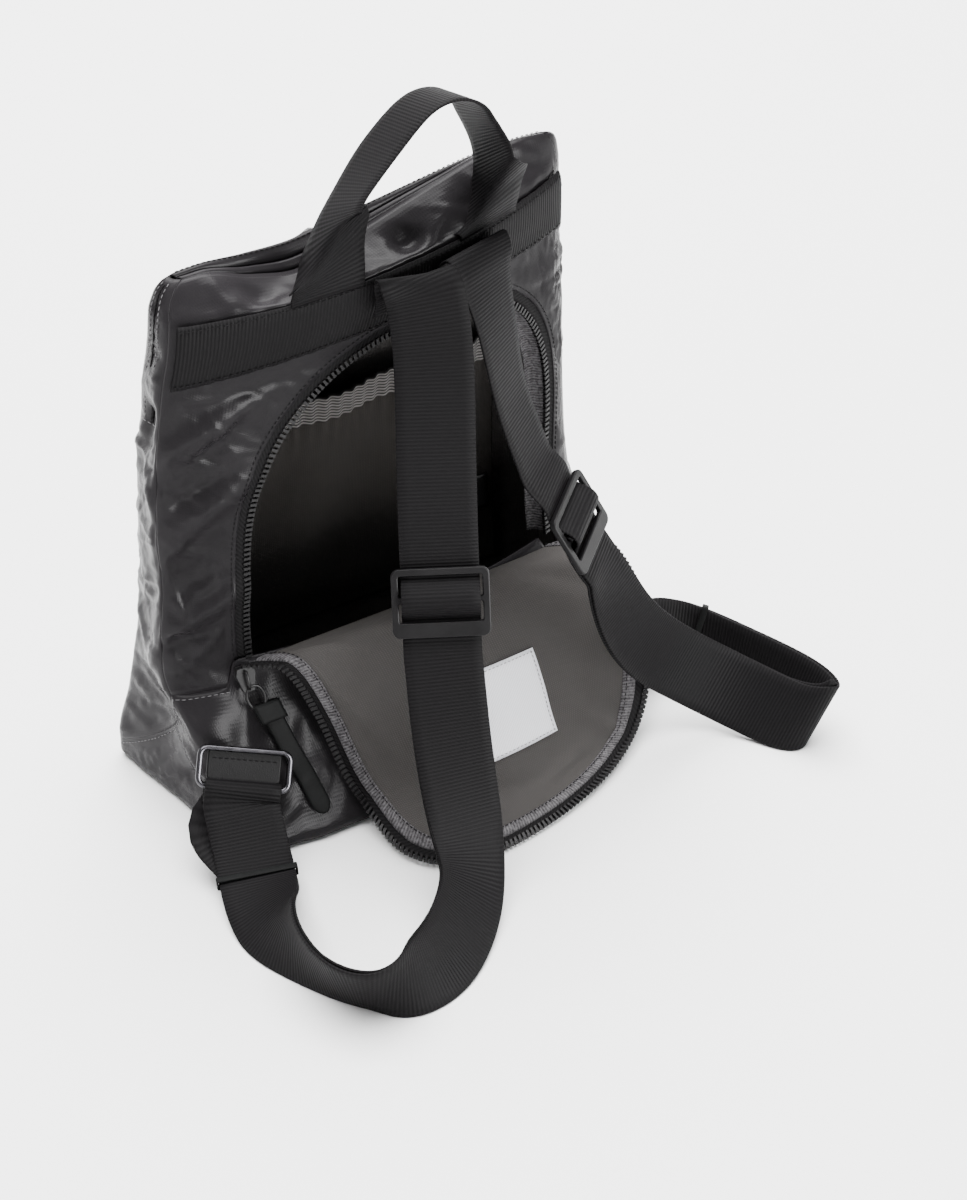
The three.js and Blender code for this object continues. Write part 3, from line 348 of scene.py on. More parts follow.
def smoothed(field, cells, passes):
    """Box-smooths a grid of vectors by the given number of cells, once for each pass."""
    for _ in range(passes):
        for axis in (0, 1):
            padded = np.concatenate([
                np.repeat(np.take(field, [0], axis), cells, axis), field,
                np.repeat(np.take(field, [-1], axis), cells, axis)], axis)
            total = np.cumsum(padded, axis=axis)
            zero = np.zeros_like(np.take(total, [0], axis))
            total = np.concatenate([zero, total], axis)
            width = 2 * cells + 1
            count = field.shape[axis]
            field = (np.take(total, np.arange(width, width + count), axis)
                     - np.take(total, np.arange(count), axis)) / width
    return field


def step_lengths(points, axis=0):
    """Distances from each point of a line or a grid to the next."""
    return np.linalg.norm(np.diff(points, axis=axis), axis=-1)


def from_start(lengths):
    """Distances along a line from its start, given the lengths of its steps."""
    return np.concatenate([[0], np.cumsum(lengths)])


def border_distance(points):
    """Least distance from each grid point to the grid's border, along rows and columns."""
    down = step_lengths(points)
    side = step_lengths(points, 1)
    from_top = np.vstack([np.zeros((1, points.shape[1])), np.cumsum(down, axis=0)])
    from_left = np.hstack([np.zeros((points.shape[0], 1)), np.cumsum(side, axis=1)])
    return np.minimum.reduce([from_top, from_top[-1:] - from_top, from_left, from_left[:, -1:] - from_left])


def grid_quads(rows, columns):
    index = np.arange(rows * columns).reshape(rows, columns)
    return np.stack([index[:-1, :-1], index[:-1, 1:], index[1:, 1:], index[1:, :-1]], -1).reshape(-1, 4)


SIM_UNIT = 0.01
SIM_FRAMES = 16
SIM_JITTER = 0.12
SIM_BORDER = 14.0
SIM_FREE = 0.62
BROAD_CELLS = 18
BROAD_SHARE = 0.85
CLOTH = {"quality": 5, "mass": 0.15, "tension_stiffness": 25.0, "compression_stiffness": 25.0,
         "shear_stiffness": 12.0, "bending_stiffness": 0.5, "vertex_group_mass": "sewn"}


def crumple(points, spare, cap, seed):
    """Sews a grid of cloth fast round its border and lets it grow by spare until it buckles.

    The cloth is simulated ten times as large as it is. Its folds are kept, cap millimetres at most, and
    the broad bulge is taken out again."""
    rng = np.random.default_rng(seed)
    start = points + rng.normal(0.0, SIM_JITTER, points.shape)
    mesh = bpy.data.meshes.new("cloth_to_crumple")
    mesh.from_pydata((start.reshape(-1, 3) * SIM_UNIT).tolist(), [], grid_quads(*points.shape[:2]).tolist())
    cloth = placed("cloth_to_crumple", mesh)
    held = cloth.vertex_groups.new(name="sewn")
    hold = 1.0 - SIM_FREE * ease(1.0, SIM_BORDER, border_distance(points).ravel())
    for vertex, weight in enumerate(hold):
        held.add([vertex], float(weight), "REPLACE")
    sim = cloth.modifiers.new("cloth", "CLOTH")
    for name, value in CLOTH.items():
        setattr(sim.settings, name, value)
    sim.settings.shrink_min = -spare
    sim.settings.effector_weights.gravity = 0.0
    sim.point_cache.frame_start = 1
    sim.point_cache.frame_end = SIM_FRAMES
    for number in range(1, SIM_FRAMES + 1):
        bpy.context.scene.frame_set(number)
    settled = cloth.evaluated_get(bpy.context.evaluated_depsgraph_get()).to_mesh()
    flat = np.empty(len(settled.vertices) * 3)
    settled.vertices.foreach_get("co", flat)
    bpy.context.scene.frame_set(1)
    bpy.data.objects.remove(cloth)
    bpy.data.meshes.remove(mesh)
    moved = flat.reshape(points.shape) / SIM_UNIT - points
    creases = smoothed(moved, 1, 1) - BROAD_SHARE * smoothed(moved, BROAD_CELLS, 3)
    size = np.linalg.norm(creases, axis=-1, keepdims=True)
    capped = creases * np.minimum(1.0, cap / np.maximum(1e-6, size))
    fade = ease(0.0, SEAM_FADE, border_distance(points))[..., None]
    return points + capped * fade


CREASE_SCATTER = 24.0
CREASE_LENGTHS = (9.0, 38.0)
CREASE_WIDTHS = (1.6, 3.6)
CREASE_HEIGHTS = (0.3, 1.0)
CREASE_DEPTH = 14.0


def creased(points, count, lean, seed, calm=0.0):
    """Adds the short sharp creases that stiff coated cloth keeps; calm from 0 to 1 flattens them."""
    rng = np.random.default_rng(seed)
    side = np.gradient(points, axis=1)
    normal = np.cross(side, np.gradient(points, axis=0))
    area = np.linalg.norm(normal, axis=-1)
    normal = unit(normal)
    height = np.zeros(area.shape)
    for pick in rng.choice(area.size, size=count, p=(area / area.sum()).ravel()):
        facing = normal.reshape(-1, 3)[pick]
        level = unit(np.cross(UP, facing))
        angle = math.radians(lean + CREASE_SCATTER * rng.normal())
        run_way = math.cos(angle) * level + math.sin(angle) * np.cross(facing, level)
        reach = rng.uniform(*CREASE_LENGTHS)
        wide = rng.uniform(*CREASE_WIDTHS)
        out = rng.choice((-1.0, 1.0)) * rng.uniform(*CREASE_HEIGHTS)
        away = points - points.reshape(-1, 3)[pick]
        run = away @ run_way
        aside = away @ np.cross(facing, run_way)
        deep = away @ facing
        height += out * np.exp(-(run / reach) ** 2 - np.abs(aside) / wide - (deep / CREASE_DEPTH) ** 2)
    fade = ease(0.0, SEAM_FADE, border_distance(points)) * (1.0 - calm)
    return points + normal * (height * fade)[..., None]


def grid_piece(name, points, materials, outward, thick, offset=-1.0):
    """A sheet over a grid of points, all in millimetres, with its flat size as UV in metres."""
    rows, columns = points.shape[:2]
    quads = grid_quads(rows, columns)
    flat = points.reshape(-1, 3)
    normals = np.cross(flat[quads[:, 2]] - flat[quads[:, 0]], flat[quads[:, 3]] - flat[quads[:, 1]])
    toward = np.asarray(outward, float).reshape(-1, 3)
    toward = toward[quads[:, 0]] if len(toward) > 1 else toward
    if np.sum(normals * toward) < 0:
        quads = quads[:, ::-1]
    mesh = bpy.data.meshes.new(name)
    mesh.from_pydata((flat * MM).tolist(), [], quads.tolist())
    u = from_start(step_lengths(points, 1).mean(axis=0))
    v = from_start(step_lengths(points).mean(axis=1))
    uv = np.stack(np.broadcast_arrays(u[None, :], v[:, None]), -1).reshape(-1, 2) * MM
    layer = mesh.uv_layers.new(name="cloth")
    layer.data.foreach_set("uv", uv[quads.ravel()].ravel())
    for one in materials:
        mesh.materials.append(one)
    mesh.shade_smooth()
    piece = placed(name, mesh)
    wall = piece.modifiers.new("wall", "SOLIDIFY")
    wall.thickness = thick * MM
    wall.offset = offset
    wall.material_offset = len(materials) - 1
    wall.material_offset_rim = 0
    wall.use_even_offset = False
    return piece


def dressed(piece, replaced=None):
    """Fixes a piece to the bag's one body and hides the CAD part it stands for, if any."""
    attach(piece, "root")
    if replaced:
        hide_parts(replaced)


WAVE_SCALE = 314.0


def bands(tree, spacing, way, distortion=0.0, detail=2.0):
    """Ridges of thread, the given number of millimetres apart, along the flat cloth."""
    place = node(tree, "ShaderNodeTexCoord")
    wave = node(tree, "ShaderNodeTexWave", {
        "Vector": place.outputs["UV"], "Scale": WAVE_SCALE / spacing, "Distortion": distortion,
        "Detail": detail}, wave_type="BANDS", bands_direction=way)
    return wave.outputs["Fac"]


def plain_weave(tree, spacing, distortion=0.0, detail=2.0):
    """Threads over and under one another, the same both ways."""
    weft, warp = (bands(tree, spacing, way, distortion, detail) for way in ("X", "Y"))
    return node(tree, "ShaderNodeMath", {0: weft, 1: warp}, operation="MULTIPLY").outputs["Value"]


def raised(tree, shader, height, strength, distance):
    """Gives a shader fine relief, and gives back its node."""
    bump = node(tree, "ShaderNodeBump", {"Strength": strength, "Distance": distance, "Height": height})
    tree.links.new(bump.outputs["Normal"], shader.inputs["Normal"])
    return bump


def roughened(tree, shader, pattern, low, high):
    """Lets a shader's roughness follow a pattern from low to high."""
    spread = node(tree, "ShaderNodeMapRange", {"Value": pattern, "To Min": low, "To Max": high})
    tree.links.new(spread.outputs["Result"], shader.inputs["Roughness"])


# Coated nylon: a tight plain weave under a clear coat. It creases sharply and shines softly, and its
# thread of a third of a millimetre is drawn three times too coarse so that it shows.
nylon, tree, shader, patches = mottled("coated_nylon", "#1b1a1b", "#262426", 22.0, 5.0, 0.6,
                                       Roughness=0.3, Specular_IOR_Level=0.045)
roughened(tree, shader, patches, 0.16, 0.34)
crease = speckle(tree, 34.0, 3.0, distortion=0.6, noise_type="RIDGED_MULTIFRACTAL")
relief = node(tree, "ShaderNodeBump", {"Strength": 0.5, "Distance": 0.0016, "Height": crease})
woven = raised(tree, shader, plain_weave(tree, 1.1), 0.10, 0.0004)
tree.links.new(relief.outputs["Normal"], woven.inputs["Normal"])


def woven_polyester(name, valley, thread_tone, worn):
    """Plain woven matte polyester, its thread of half a millimetre drawn twice as coarse as it is."""
    made, tree, shader = new_material(name, Roughness=0.82, Specular_IOR_Level=0.03)
    weave = plain_weave(tree, 1.0, 0.6, 1.0)
    thread = two_tone(tree, weave, valley, thread_tone)
    tone = two_tone(tree, speckle(tree, 30.0, 6.0, 0.65), thread, worn)
    tree.links.new(tone, shader.inputs["Base Color"])
    raised(tree, shader, weave, 0.35, 0.0004)
    return made


# Lining: matte and warm grey, so that it keeps an even tone in the light and goes dark inside the bag.
lining = woven_polyester("woven_polyester_lining", "#383635", "#4e4b49", "#434140")

for name, side, foot_end, seed in (("gusset_left", 0, SEAM_BACK, 11), ("gusset_right", 2, SEAM_FRONT, 12)):
    across = np.linspace(0.0, 1.0, 44)[None, :] + side
    upward = np.linspace(0.0, 1.0, 190)[:, None]
    foot = np.where(across >= side + 1.0, foot_end, base_seam(across))
    levels = foot * (1 - upward) + RIDGE * upward
    walls = creased(crumple(skin(across, levels), 0.035, 3.5, seed=seed), 110, 15.0, seed)
    piece = grid_piece(f"{name}_cloth", walls, [nylon, lining], skin_normal(across, levels), SHELL_WALL)
    dressed(piece, name)


# Front wall, the side away from the opening
# One wide panel of the same lined nylon, sewn to both gussets and to the base.
across = np.linspace(3.0, 4.0, 136)[None, :]
upward = np.linspace(0.0, 1.0, 140)[:, None]
levels = np.broadcast_to(SEAM_FRONT + (RIDGE - SEAM_FRONT) * upward, (140, 136))
walls = creased(crumple(skin(across, levels), 0.045, 4.5, seed=13), 320, 40.0, 13)
piece = grid_piece("front_panel_cloth", walls, [nylon, lining], skin_normal(across, levels), SHELL_WALL)
dressed(piece, "front_panel")


# Back wall, a frame of nylon round the arched opening
# It runs from the zip of the opening out to the side seams, and over the top to the upper zip.
DOOR_HALF = 98.0
DOOR_SPRING = 150.0
DOOR_TOP = 250.0
DOOR_SQUARE = 2.3
HINGE = 88.6
STRAIGHT = 0.2
CORNER = STRAIGHT + 0.3 * (1 - 2 * STRAIGHT)
SPRING_OUT = 158.0


def back_girth(x, z):
    """Girth of the point of the back wall at x."""
    cut = smooth_read(SECTIONS, z)
    return 1.0 + (x + cut[..., 1]) / (cut[..., 1] + cut[..., 2])


def door_shift(z):
    """How far the middle of the opening lies to the right."""
    return 2.0 + 12.0 * ease(95, 250, z)


def door_arch(share, inset):
    """Place on the arch of the opening, from its left foot over the top to its right foot."""
    share, inset = as_grids(share, inset)
    half = DOOR_HALF - inset
    rise = DOOR_TOP - inset - DOOR_SPRING
    angle = np.pi * (1 - np.clip((share - STRAIGHT) / (1 - 2 * STRAIGHT), 0.0, 1.0))
    power = 2.0 / DOOR_SQUARE
    x = half * np.sign(np.cos(angle)) * np.abs(np.cos(angle)) ** power
    z = DOOR_SPRING + rise * np.abs(np.sin(angle)) ** power
    leg = np.minimum(share, 1 - share)
    straight = HINGE + (DOOR_SPRING - HINGE) * leg / STRAIGHT
    return x, np.where(leg <= STRAIGHT, straight, z)


arch_share = np.concatenate([
    np.linspace(0, STRAIGHT, 34)[:-1], np.linspace(STRAIGHT, 1 - STRAIGHT, 240)[:-1],
    np.linspace(1 - STRAIGHT, 1, 34)])[:, None]
outward_share = np.linspace(0.0, 1.0, 40)[None, :] ** 0.9
leg = np.minimum(arch_share, 1 - arch_share)
arch_x, arch_z = door_arch(arch_share, 0.0)
top_run = np.clip((leg - CORNER) / (0.5 - CORNER), 0.0, 1.0)
outer_girth = 1.0 + 0.5 * top_run
outer_girth = np.where(arch_share > 0.5, 3.0 - outer_girth, outer_girth)
side_run = np.clip((leg - STRAIGHT) / (CORNER - STRAIGHT), 0.0, 1.0)
outer_level = SPRING_OUT + (RIDGE - SPRING_OUT) * side_run
inner_girth = back_girth(arch_x + door_shift(arch_z), arch_z)
girth = inner_girth + (outer_girth - inner_girth) * outward_share
foot = np.where(np.abs(girth - 1.5) >= 0.5, SEAM_BACK, base_seam(np.clip(girth, 1.0, 1.99999)))
spring = DOOR_SPRING + (SPRING_OUT - DOOR_SPRING) * outward_share
level = np.where(leg < STRAIGHT, foot + (spring - foot) * leg / STRAIGHT,
                 arch_z + (outer_level - arch_z) * outward_share)
plain = skin(girth, level)
# The cloth lies flat under the webbing band and is pulled tight above it.
under_band = ease(240, 250, level) * ease(292, 286, level)
pulled = 1.0 - 0.85 * ease(288, 296, level)[..., None]
walls = plain + (crumple(plain, 0.05, 4.0, seed=14) - plain) * pulled
walls = creased(walls, 240, 36.0, 14, 0.85 * under_band)
piece = grid_piece("back_panel_cloth", walls, [nylon, lining], skin_normal(girth, level), SHELL_WALL)
dressed(piece, "back_panel")


# Base
# A boxed bottom of the same nylon, sewn to the walls along a topstitched seam that drops from
# the back corners to the front.
FLOOR_SHARES = (0.02, 0.25, 0.5, 0.75, 0.92)
FLOOR_MIDDLE = 2
round_girth = np.linspace(0.0, 4.0, 300)[None, :]
rim_x, rim_y, _ = np.moveaxis(plain_skin(round_girth, 0.0), -1, 0)
floor_rows = [np.stack([rim_x * share, FLOOR_MIDDLE + (rim_y - FLOOR_MIDDLE) * share, 0 * rim_x], -1)
              for share in FLOOR_SHARES]
wall_share = np.linspace(0.0, 1.0, 30)[:, None]
wall_level = wall_share * base_seam(round_girth)
wall_rows = creased(crumple(skin(round_girth, wall_level), 0.045, 3.5, seed=15), 160, 50.0, 15)
wall_rows[..., 2] = np.where(wall_share == 0, 0.0, np.maximum(wall_rows[..., 2], 0.0))
base = np.concatenate([*floor_rows, wall_rows])
under = np.broadcast_to([0.0, 0.0, -1.0], (len(FLOOR_SHARES), 300, 3))
facing = np.concatenate([under, skin_normal(round_girth, wall_level)])
piece = grid_piece("base_panel_cloth", base, [nylon, lining], facing, SHELL_WALL)
dressed(piece, "base_panel")


# Seam stitches
# One row of pale polyester thread along the base seam; a Geometry Nodes tree lays one small
# rounded stitch after another along each row.
pale_thread = mottled("pale_polyester_thread", "#3e3c3e", "#626062", 900.0, Roughness=0.6)[0]
dark_thread = mottled("black_polyester_thread", "#0a090a", "#1a191a", 900.0, Roughness=0.8,
                      Specular_IOR_Level=0.05)[0]


def row_group(name, sizes):
    """A node group that sets things along a row: its tree, its inputs, and the points one pitch apart."""
    tree = bpy.data.node_groups.new(name, "GeometryNodeTree")
    kinds = {"Row": "NodeSocketGeometry", **dict.fromkeys(("Pitch", *sizes), "NodeSocketFloat"),
             "Material": "NodeSocketMaterial"}
    for label, kind in kinds.items():
        tree.interface.new_socket(label, in_out="INPUT", socket_type=kind)
    tree.interface.new_socket("Made", in_out="OUTPUT", socket_type="NodeSocketGeometry")
    given = node(tree, "NodeGroupInput").outputs
    path = node(tree, "GeometryNodeMeshToCurve", {"Mesh": given["Row"]})
    spaced = node(tree, "GeometryNodeResampleCurve", {
        "Curve": path.outputs["Curve"], "Length": given["Pitch"]}, mode="LENGTH")
    return tree, given, spaced.outputs["Curve"]


def close_group(tree, given, **inputs):
    """Ends a row group: one thing on every point, in the material that is given."""
    laid = node(tree, "GeometryNodeInstanceOnPoints", inputs)
    real = node(tree, "GeometryNodeRealizeInstances", {"Geometry": laid.outputs["Instances"]})
    coloured = node(tree, "GeometryNodeSetMaterial", {
        "Geometry": real.outputs["Geometry"], "Material": given["Material"]})
    node(tree, "NodeGroupOutput", {0: coloured.outputs["Geometry"]})


stitch_tree, given, points = row_group("stitch_row", ("Stitch", "Thread"))
bead = node(stitch_tree, "GeometryNodeMeshIcoSphere", {"Radius": 1.0, "Subdivisions": 2})
rounded = node(stitch_tree, "GeometryNodeSetShadeSmooth", {"Geometry": bead.outputs["Mesh"]})
size = node(stitch_tree, "ShaderNodeCombineXYZ", {
    "X": given["Stitch"], "Y": given["Thread"], "Z": given["Thread"]})
tangent = node(stitch_tree, "GeometryNodeInputTangent")
turn = node(stitch_tree, "FunctionNodeAlignRotationToVector", {
    "Vector": tangent.outputs["Tangent"]}, axis="X")
close_group(stitch_tree, given, Points=points, Instance=rounded.outputs["Geometry"],
            Rotation=turn.outputs["Rotation"], Scale=size.outputs["Vector"])


def made_real(piece):
    """Turns a piece with modifiers, or a curve, into a plain mesh object of the same name."""
    name = piece.name
    mesh = bpy.data.meshes.new_from_object(piece.evaluated_get(bpy.context.evaluated_depsgraph_get()))
    bpy.data.objects.remove(piece)
    mesh.name = name
    return placed(name, mesh)


def polylines(name, rows):
    """A mesh of edges only, one chain for each row of points in millimetres."""
    verts = []
    edges = []
    for row in rows:
        first = len(verts)
        verts.extend((np.asarray(row) * MM).tolist())
        edges.extend((k, k + 1) for k in range(first, len(verts) - 1))
    mesh = bpy.data.meshes.new(name)
    mesh.from_pydata(verts, edges, [])
    return placed(name, mesh)


def run_group(piece, tree, **values):
    """Runs a row group on a piece and makes the outcome real."""
    run = piece.modifiers.new(tree.name, "NODES")
    run.node_group = tree
    for socket in tree.interface.items_tree:
        if socket.name in values:
            run[socket.identifier] = values[socket.name]
    return made_real(piece)


def stitched(name, rows, thread, pitch=3.2, stitch=2.3, gauge=0.55):
    """Rows of stitches along the given chains of points; pitch, stitch and gauge in millimetres."""
    piece = run_group(polylines(name, rows), stitch_tree, Pitch=pitch * MM, Stitch=stitch * MM / 2,
                      Thread=gauge * MM / 2, Material=thread)
    dressed(piece)


seam_rows = []
for start, end in ((1.012, 1.11), (1.89, 1.985), (0.05, 0.985), (2.015, 2.95)):
    run = np.linspace(start, end, 40)
    seam_rows.append(skin(run, base_seam(run) - 2.2, -0.25))
stitched("base_seam_stitches", seam_rows, pale_thread, gauge=0.4)


# Upper zip, concealed in the slit along the top
# Two nylon lips meet over a closed zip; the front lip is topstitched, and the slit runs on
# down the left gusset.
def ribbed(name, dark, light, spacing, way, distortion, strength, distance, **sockets):
    """A woven material with ribs in two tones; strength and distance are those of its relief."""
    made, tree, shader = new_material(name, **sockets)
    rib = bands(tree, spacing, way, distortion)
    tree.links.new(two_tone(tree, rib, dark, light), shader.inputs["Base Color"])
    raised(tree, shader, rib, strength, distance)
    return made


zip_tape = ribbed("woven_zip_tape", "#0b0a0b", "#171617", 1.2, "DIAGONAL", 0.5, 0.4, 0.0003,
                  Roughness=0.75, Specular_IOR_Level=0.05)
LIP = np.array([
    # share of the way across the slit, height
    (0.0, 0.0), (0.14, 0.4), (0.3, 0.4), (0.4, -0.1), (0.44, -1.0), (0.44, -3.6),
])
SLIT_LOW = 226.0
along = np.linspace(0.0, 1.0, 130)[None, :]
back_edge = skin(1.0 + along, RIDGE)
front_edge = skin(4.0 - along, RIDGE)
for name, near, far in (("upper_lip_back", back_edge, front_edge),
                        ("upper_lip_front", front_edge, back_edge)):
    lip = near + (far - near) * LIP[:, :1, None]
    lip[..., 2] += LIP[:, 1:]
    piece = grid_piece(name, lip, [nylon, lining], UP, 0.9)
    dressed(piece)
strip = back_edge + (front_edge - back_edge) * np.linspace(0.3, 0.7, 5)[:, None, None]
strip[..., 2] -= 2.4
piece = grid_piece("top_zip_tape", strip, [zip_tape], UP, 0.8)
dressed(piece, "top_zip")
lip_line = front_edge[0] + (back_edge[0] - front_edge[0]) * 0.12 + np.array([0.0, 0.0, 0.7])
stitched("upper_lip_stitches", [lip_line[3:-3]], dark_thread,
         pitch=2.8, stitch=2.0, gauge=0.5)
slit_level = np.linspace(RIDGE - 2, SLIT_LOW, 60)
slit = np.stack([skin(0.5 + aside, slit_level, -0.15) for aside in (-0.022, 0.022)])
piece = grid_piece("gusset_slit", slit, [zip_tape], skin_normal(np.full((2, 1), 0.5), slit_level), 0.5)
dressed(piece)
slit_rows = [skin(0.5 + aside, slit_level, -0.2) for aside in (-0.16, 0.16)]
slit_rows.append(skin(np.linspace(0.3, 0.72, 20), SLIT_LOW - 1.0, -0.2))
stitched("gusset_slit_stitches", slit_rows, pale_thread, pitch=2.8, stitch=2.0, gauge=0.45)


# Slip pocket inside the front wall
# A loose sheet of lining sewn to the front wall at its sides and foot, gathered on a band of ribbed
# elastic, with a small black satin label sewn to it. Its lining is a darker copy of the lining's
# colours: painted shade for the deep inside of the bag.
POCKET_LOW = 40.0
POCKET_HIGH = 194.0
POCKET_FROM = 3.12
POCKET_TO = 3.88
POCKET_IN = 6.5
POCKET_SLACK = 11.0
ELASTIC_WIDTH = 15.0
INNER_LABEL_FROM = 3.14
INNER_LABEL_TO = 3.235
INNER_LABEL_LOW = 84.0
INNER_LABEL_HIGH = 104.0


def pocket_point(girth, z, extra):
    """A point of the pocket, loose in the middle and puckered under the elastic; extra lifts it inward."""
    f = (girth - POCKET_FROM) / (POCKET_TO - POCKET_FROM)
    loose = (1 - np.abs(2 * f - 1) ** 4) * ease(POCKET_LOW, POCKET_LOW + 60, z)
    pucker = 0.9 * np.sin(f * 150.0) * ease(POCKET_HIGH - 45, POCKET_HIGH - 8, z)
    sag = 2.2 * np.sin(f * 19.0 + 0.02 * z) * ease(POCKET_LOW, POCKET_LOW + 50, z)
    return skin(girth, z, POCKET_IN + POCKET_SLACK * loose + pucker + sag + extra)


across = np.linspace(POCKET_FROM, POCKET_TO, 170)[None, :]
upward = np.linspace(POCKET_LOW, POCKET_HIGH, 60)[:, None]
pocket = pocket_point(across, upward, 0.0)
# A darker copy of the lining's colours: painted shade for the pocket deep inside the bag.
pocket_shaded_lining = woven_polyester("shaded_polyester_lining", "#2a2827", "#3a3735", "#32302e")
piece = grid_piece("inner_pocket_cloth", pocket, [pocket_shaded_lining], -skin_normal(across, upward), 0.9)
dressed(piece, "inner_pocket")

elastic = ribbed("ribbed_elastic", "#171616", "#6e6b69", 1.9, "Y", 0.2, 0.7, 0.0006,
                 Roughness=0.7, Specular_IOR_Level=0.2)
upward = np.linspace(POCKET_HIGH - ELASTIC_WIDTH, POCKET_HIGH + 0.5, 12)[:, None]
band = pocket_point(across, upward, 1.5)
piece = grid_piece("pocket_elastic_band", band, [elastic], -skin_normal(across, upward), 1.1)
dressed(piece, "pocket_elastic")

black_satin = ribbed("black_satin_label", "#151415", "#232223", 0.9, "X", 0.0, 0.0, 0.0003,
                     Roughness=0.42, Specular_IOR_Level=0.2)
across = np.linspace(INNER_LABEL_FROM, INNER_LABEL_TO, 14)[None, :]
upward = np.linspace(INNER_LABEL_LOW, INNER_LABEL_HIGH, 12)[:, None]
curl = 2.2 * ((INNER_LABEL_HIGH - upward) / (INNER_LABEL_HIGH - INNER_LABEL_LOW)) ** 2
patch = pocket_point(across, upward, 1.6 + curl)
piece = grid_piece("inner_label_patch", patch, [black_satin], -skin_normal(across, upward), 0.5)
dressed(piece, "inner_label")


# Zip round the opening
# Moulded acetal teeth on a woven tape, sewn under the edge of the back wall; a mottled grey
# binding covers the raw edges inside.
acetal_teeth = mottled("moulded_acetal_teeth", "#0d0c0d", "#1b1a1b", 1200.0, Roughness=0.42,
                       Specular_IOR_Level=0.15)[0]
binding, tree, shader = new_material("mottled_binding_tape", Roughness=0.85, Specular_IOR_Level=0.15)
twill = bands(tree, 1.6, "X", 2.5)
mingled = node(tree, "ShaderNodeMath", {0: twill, 1: 0.22, 2: speckle(tree, 520.0, 3.0, 0.7)},
               operation="MULTIPLY_ADD")
spread = node(tree, "ShaderNodeMapRange", {
    "Value": mingled.outputs["Value"], "From Min": 0.42, "From Max": 0.8})
tree.links.new(two_tone(tree, spread.outputs["Result"], "#2c2a2c", "#5f5d5f"), shader.inputs["Base Color"])
raised(tree, shader, twill, 0.5, 0.0004)

teeth_tree, given, points = row_group("zip_teeth", ("Reach", "Height"))


def tooth_part(wide, long, high):
    """A block of a tooth, its sides as shares of the pitch, the reach and the height."""
    sides = [node(teeth_tree, "ShaderNodeMath", {0: given[label], 1: share}, operation="MULTIPLY")
             for label, share in (("Pitch", wide), ("Reach", long), ("Height", high))]
    block = node(teeth_tree, "ShaderNodeCombineXYZ", {
        axis: side.outputs["Value"] for axis, side in zip("XYZ", sides)})
    return node(teeth_tree, "GeometryNodeMeshCube", {"Size": block.outputs["Vector"]}).outputs["Mesh"]


half_reach = node(teeth_tree, "ShaderNodeMath", {0: given["Reach"], 1: 0.5}, operation="MULTIPLY")
head_at = node(teeth_tree, "ShaderNodeCombineXYZ", {"Y": half_reach.outputs["Value"]})
head = node(teeth_tree, "GeometryNodeTransform", {
    "Geometry": tooth_part(0.72, 0.3, 0.86), "Translation": head_at.outputs["Vector"]})
tooth = node(teeth_tree, "GeometryNodeJoinGeometry", {0: tooth_part(0.5, 1.0, 1.0)})
teeth_tree.links.new(head.outputs["Geometry"], tooth.inputs[0])
toward, facing = (
    node(teeth_tree, "GeometryNodeInputNamedAttribute", {"Name": label}, data_type="FLOAT_VECTOR")
    for label in ("toward", "facing"))
first_turn = node(teeth_tree, "FunctionNodeAlignRotationToVector", {
    "Vector": toward.outputs["Attribute"]}, axis="Y")
turn = node(teeth_tree, "FunctionNodeAlignRotationToVector", {
    "Rotation": first_turn.outputs["Rotation"], "Vector": facing.outputs["Attribute"]},
    axis="Z", pivot_axis="Y")
close_group(teeth_tree, given, Points=points, Instance=tooth.outputs["Geometry"],
            Rotation=turn.outputs["Rotation"])


def zip_teeth(name, line, toward, facing):
    """One side's row of teeth along a line, pointing toward and lying with their faces along facing."""
    piece = polylines(name, [line])
    for label, vectors in (("toward", toward), ("facing", facing)):
        attribute = piece.data.attributes.new(label, "FLOAT_VECTOR", "POINT")
        attribute.data.foreach_set("vector", unit(vectors).ravel())
    piece = run_group(piece, teeth_tree, Pitch=2.7 * MM, Reach=3.0 * MM, Height=2.1 * MM,
                      Material=acetal_teeth)
    dressed(piece)


def mouth_point(share, inset, deep):
    """A point by the rim of the opening, inset from it and deep under the cloth."""
    x, z = door_arch(share, inset)
    return skin(back_girth(x + door_shift(z), z), z, deep)


mouth_share = np.linspace(0.0, 1.0, 300)
tape = np.stack([mouth_point(mouth_share, inset, 0.5) for inset in (-1.5, 0.5, 2.5, 4.6)])
mouth_x, mouth_z = door_arch(mouth_share, 2.0)
mouth_facing = skin_normal(back_girth(mouth_x + door_shift(mouth_z), mouth_z), mouth_z)
piece = grid_piece("mouth_zip_tape", tape, [zip_tape], np.broadcast_to(mouth_facing, tape.shape), 0.7)
dressed(piece, "mouth_zip")
tooth_line = mouth_point(mouth_share, 5.4, 0.7)
zip_teeth("mouth_teeth", tooth_line, mouth_point(mouth_share, 7.5, 0.7) - tooth_line, mouth_facing)
inner_bind = np.stack([mouth_point(mouth_share, inset, deep) for inset, deep in (
    (2.5, 1.5), (4.6, 2.0), (5.6, 4.5), (6.4, 8.0), (8.2, 10.5), (10.0, 10.8))])
piece = grid_piece("mouth_binding_tape", inner_bind, [binding],
                   np.broadcast_to(-mouth_facing, inner_bind.shape), 0.9)
dressed(piece, "mouth_binding")
edge_line = mouth_point(mouth_share, -2.2, -0.3)
stitched("mouth_stitches", [edge_line], dark_thread, pitch=2.8, stitch=2.0, gauge=0.45)


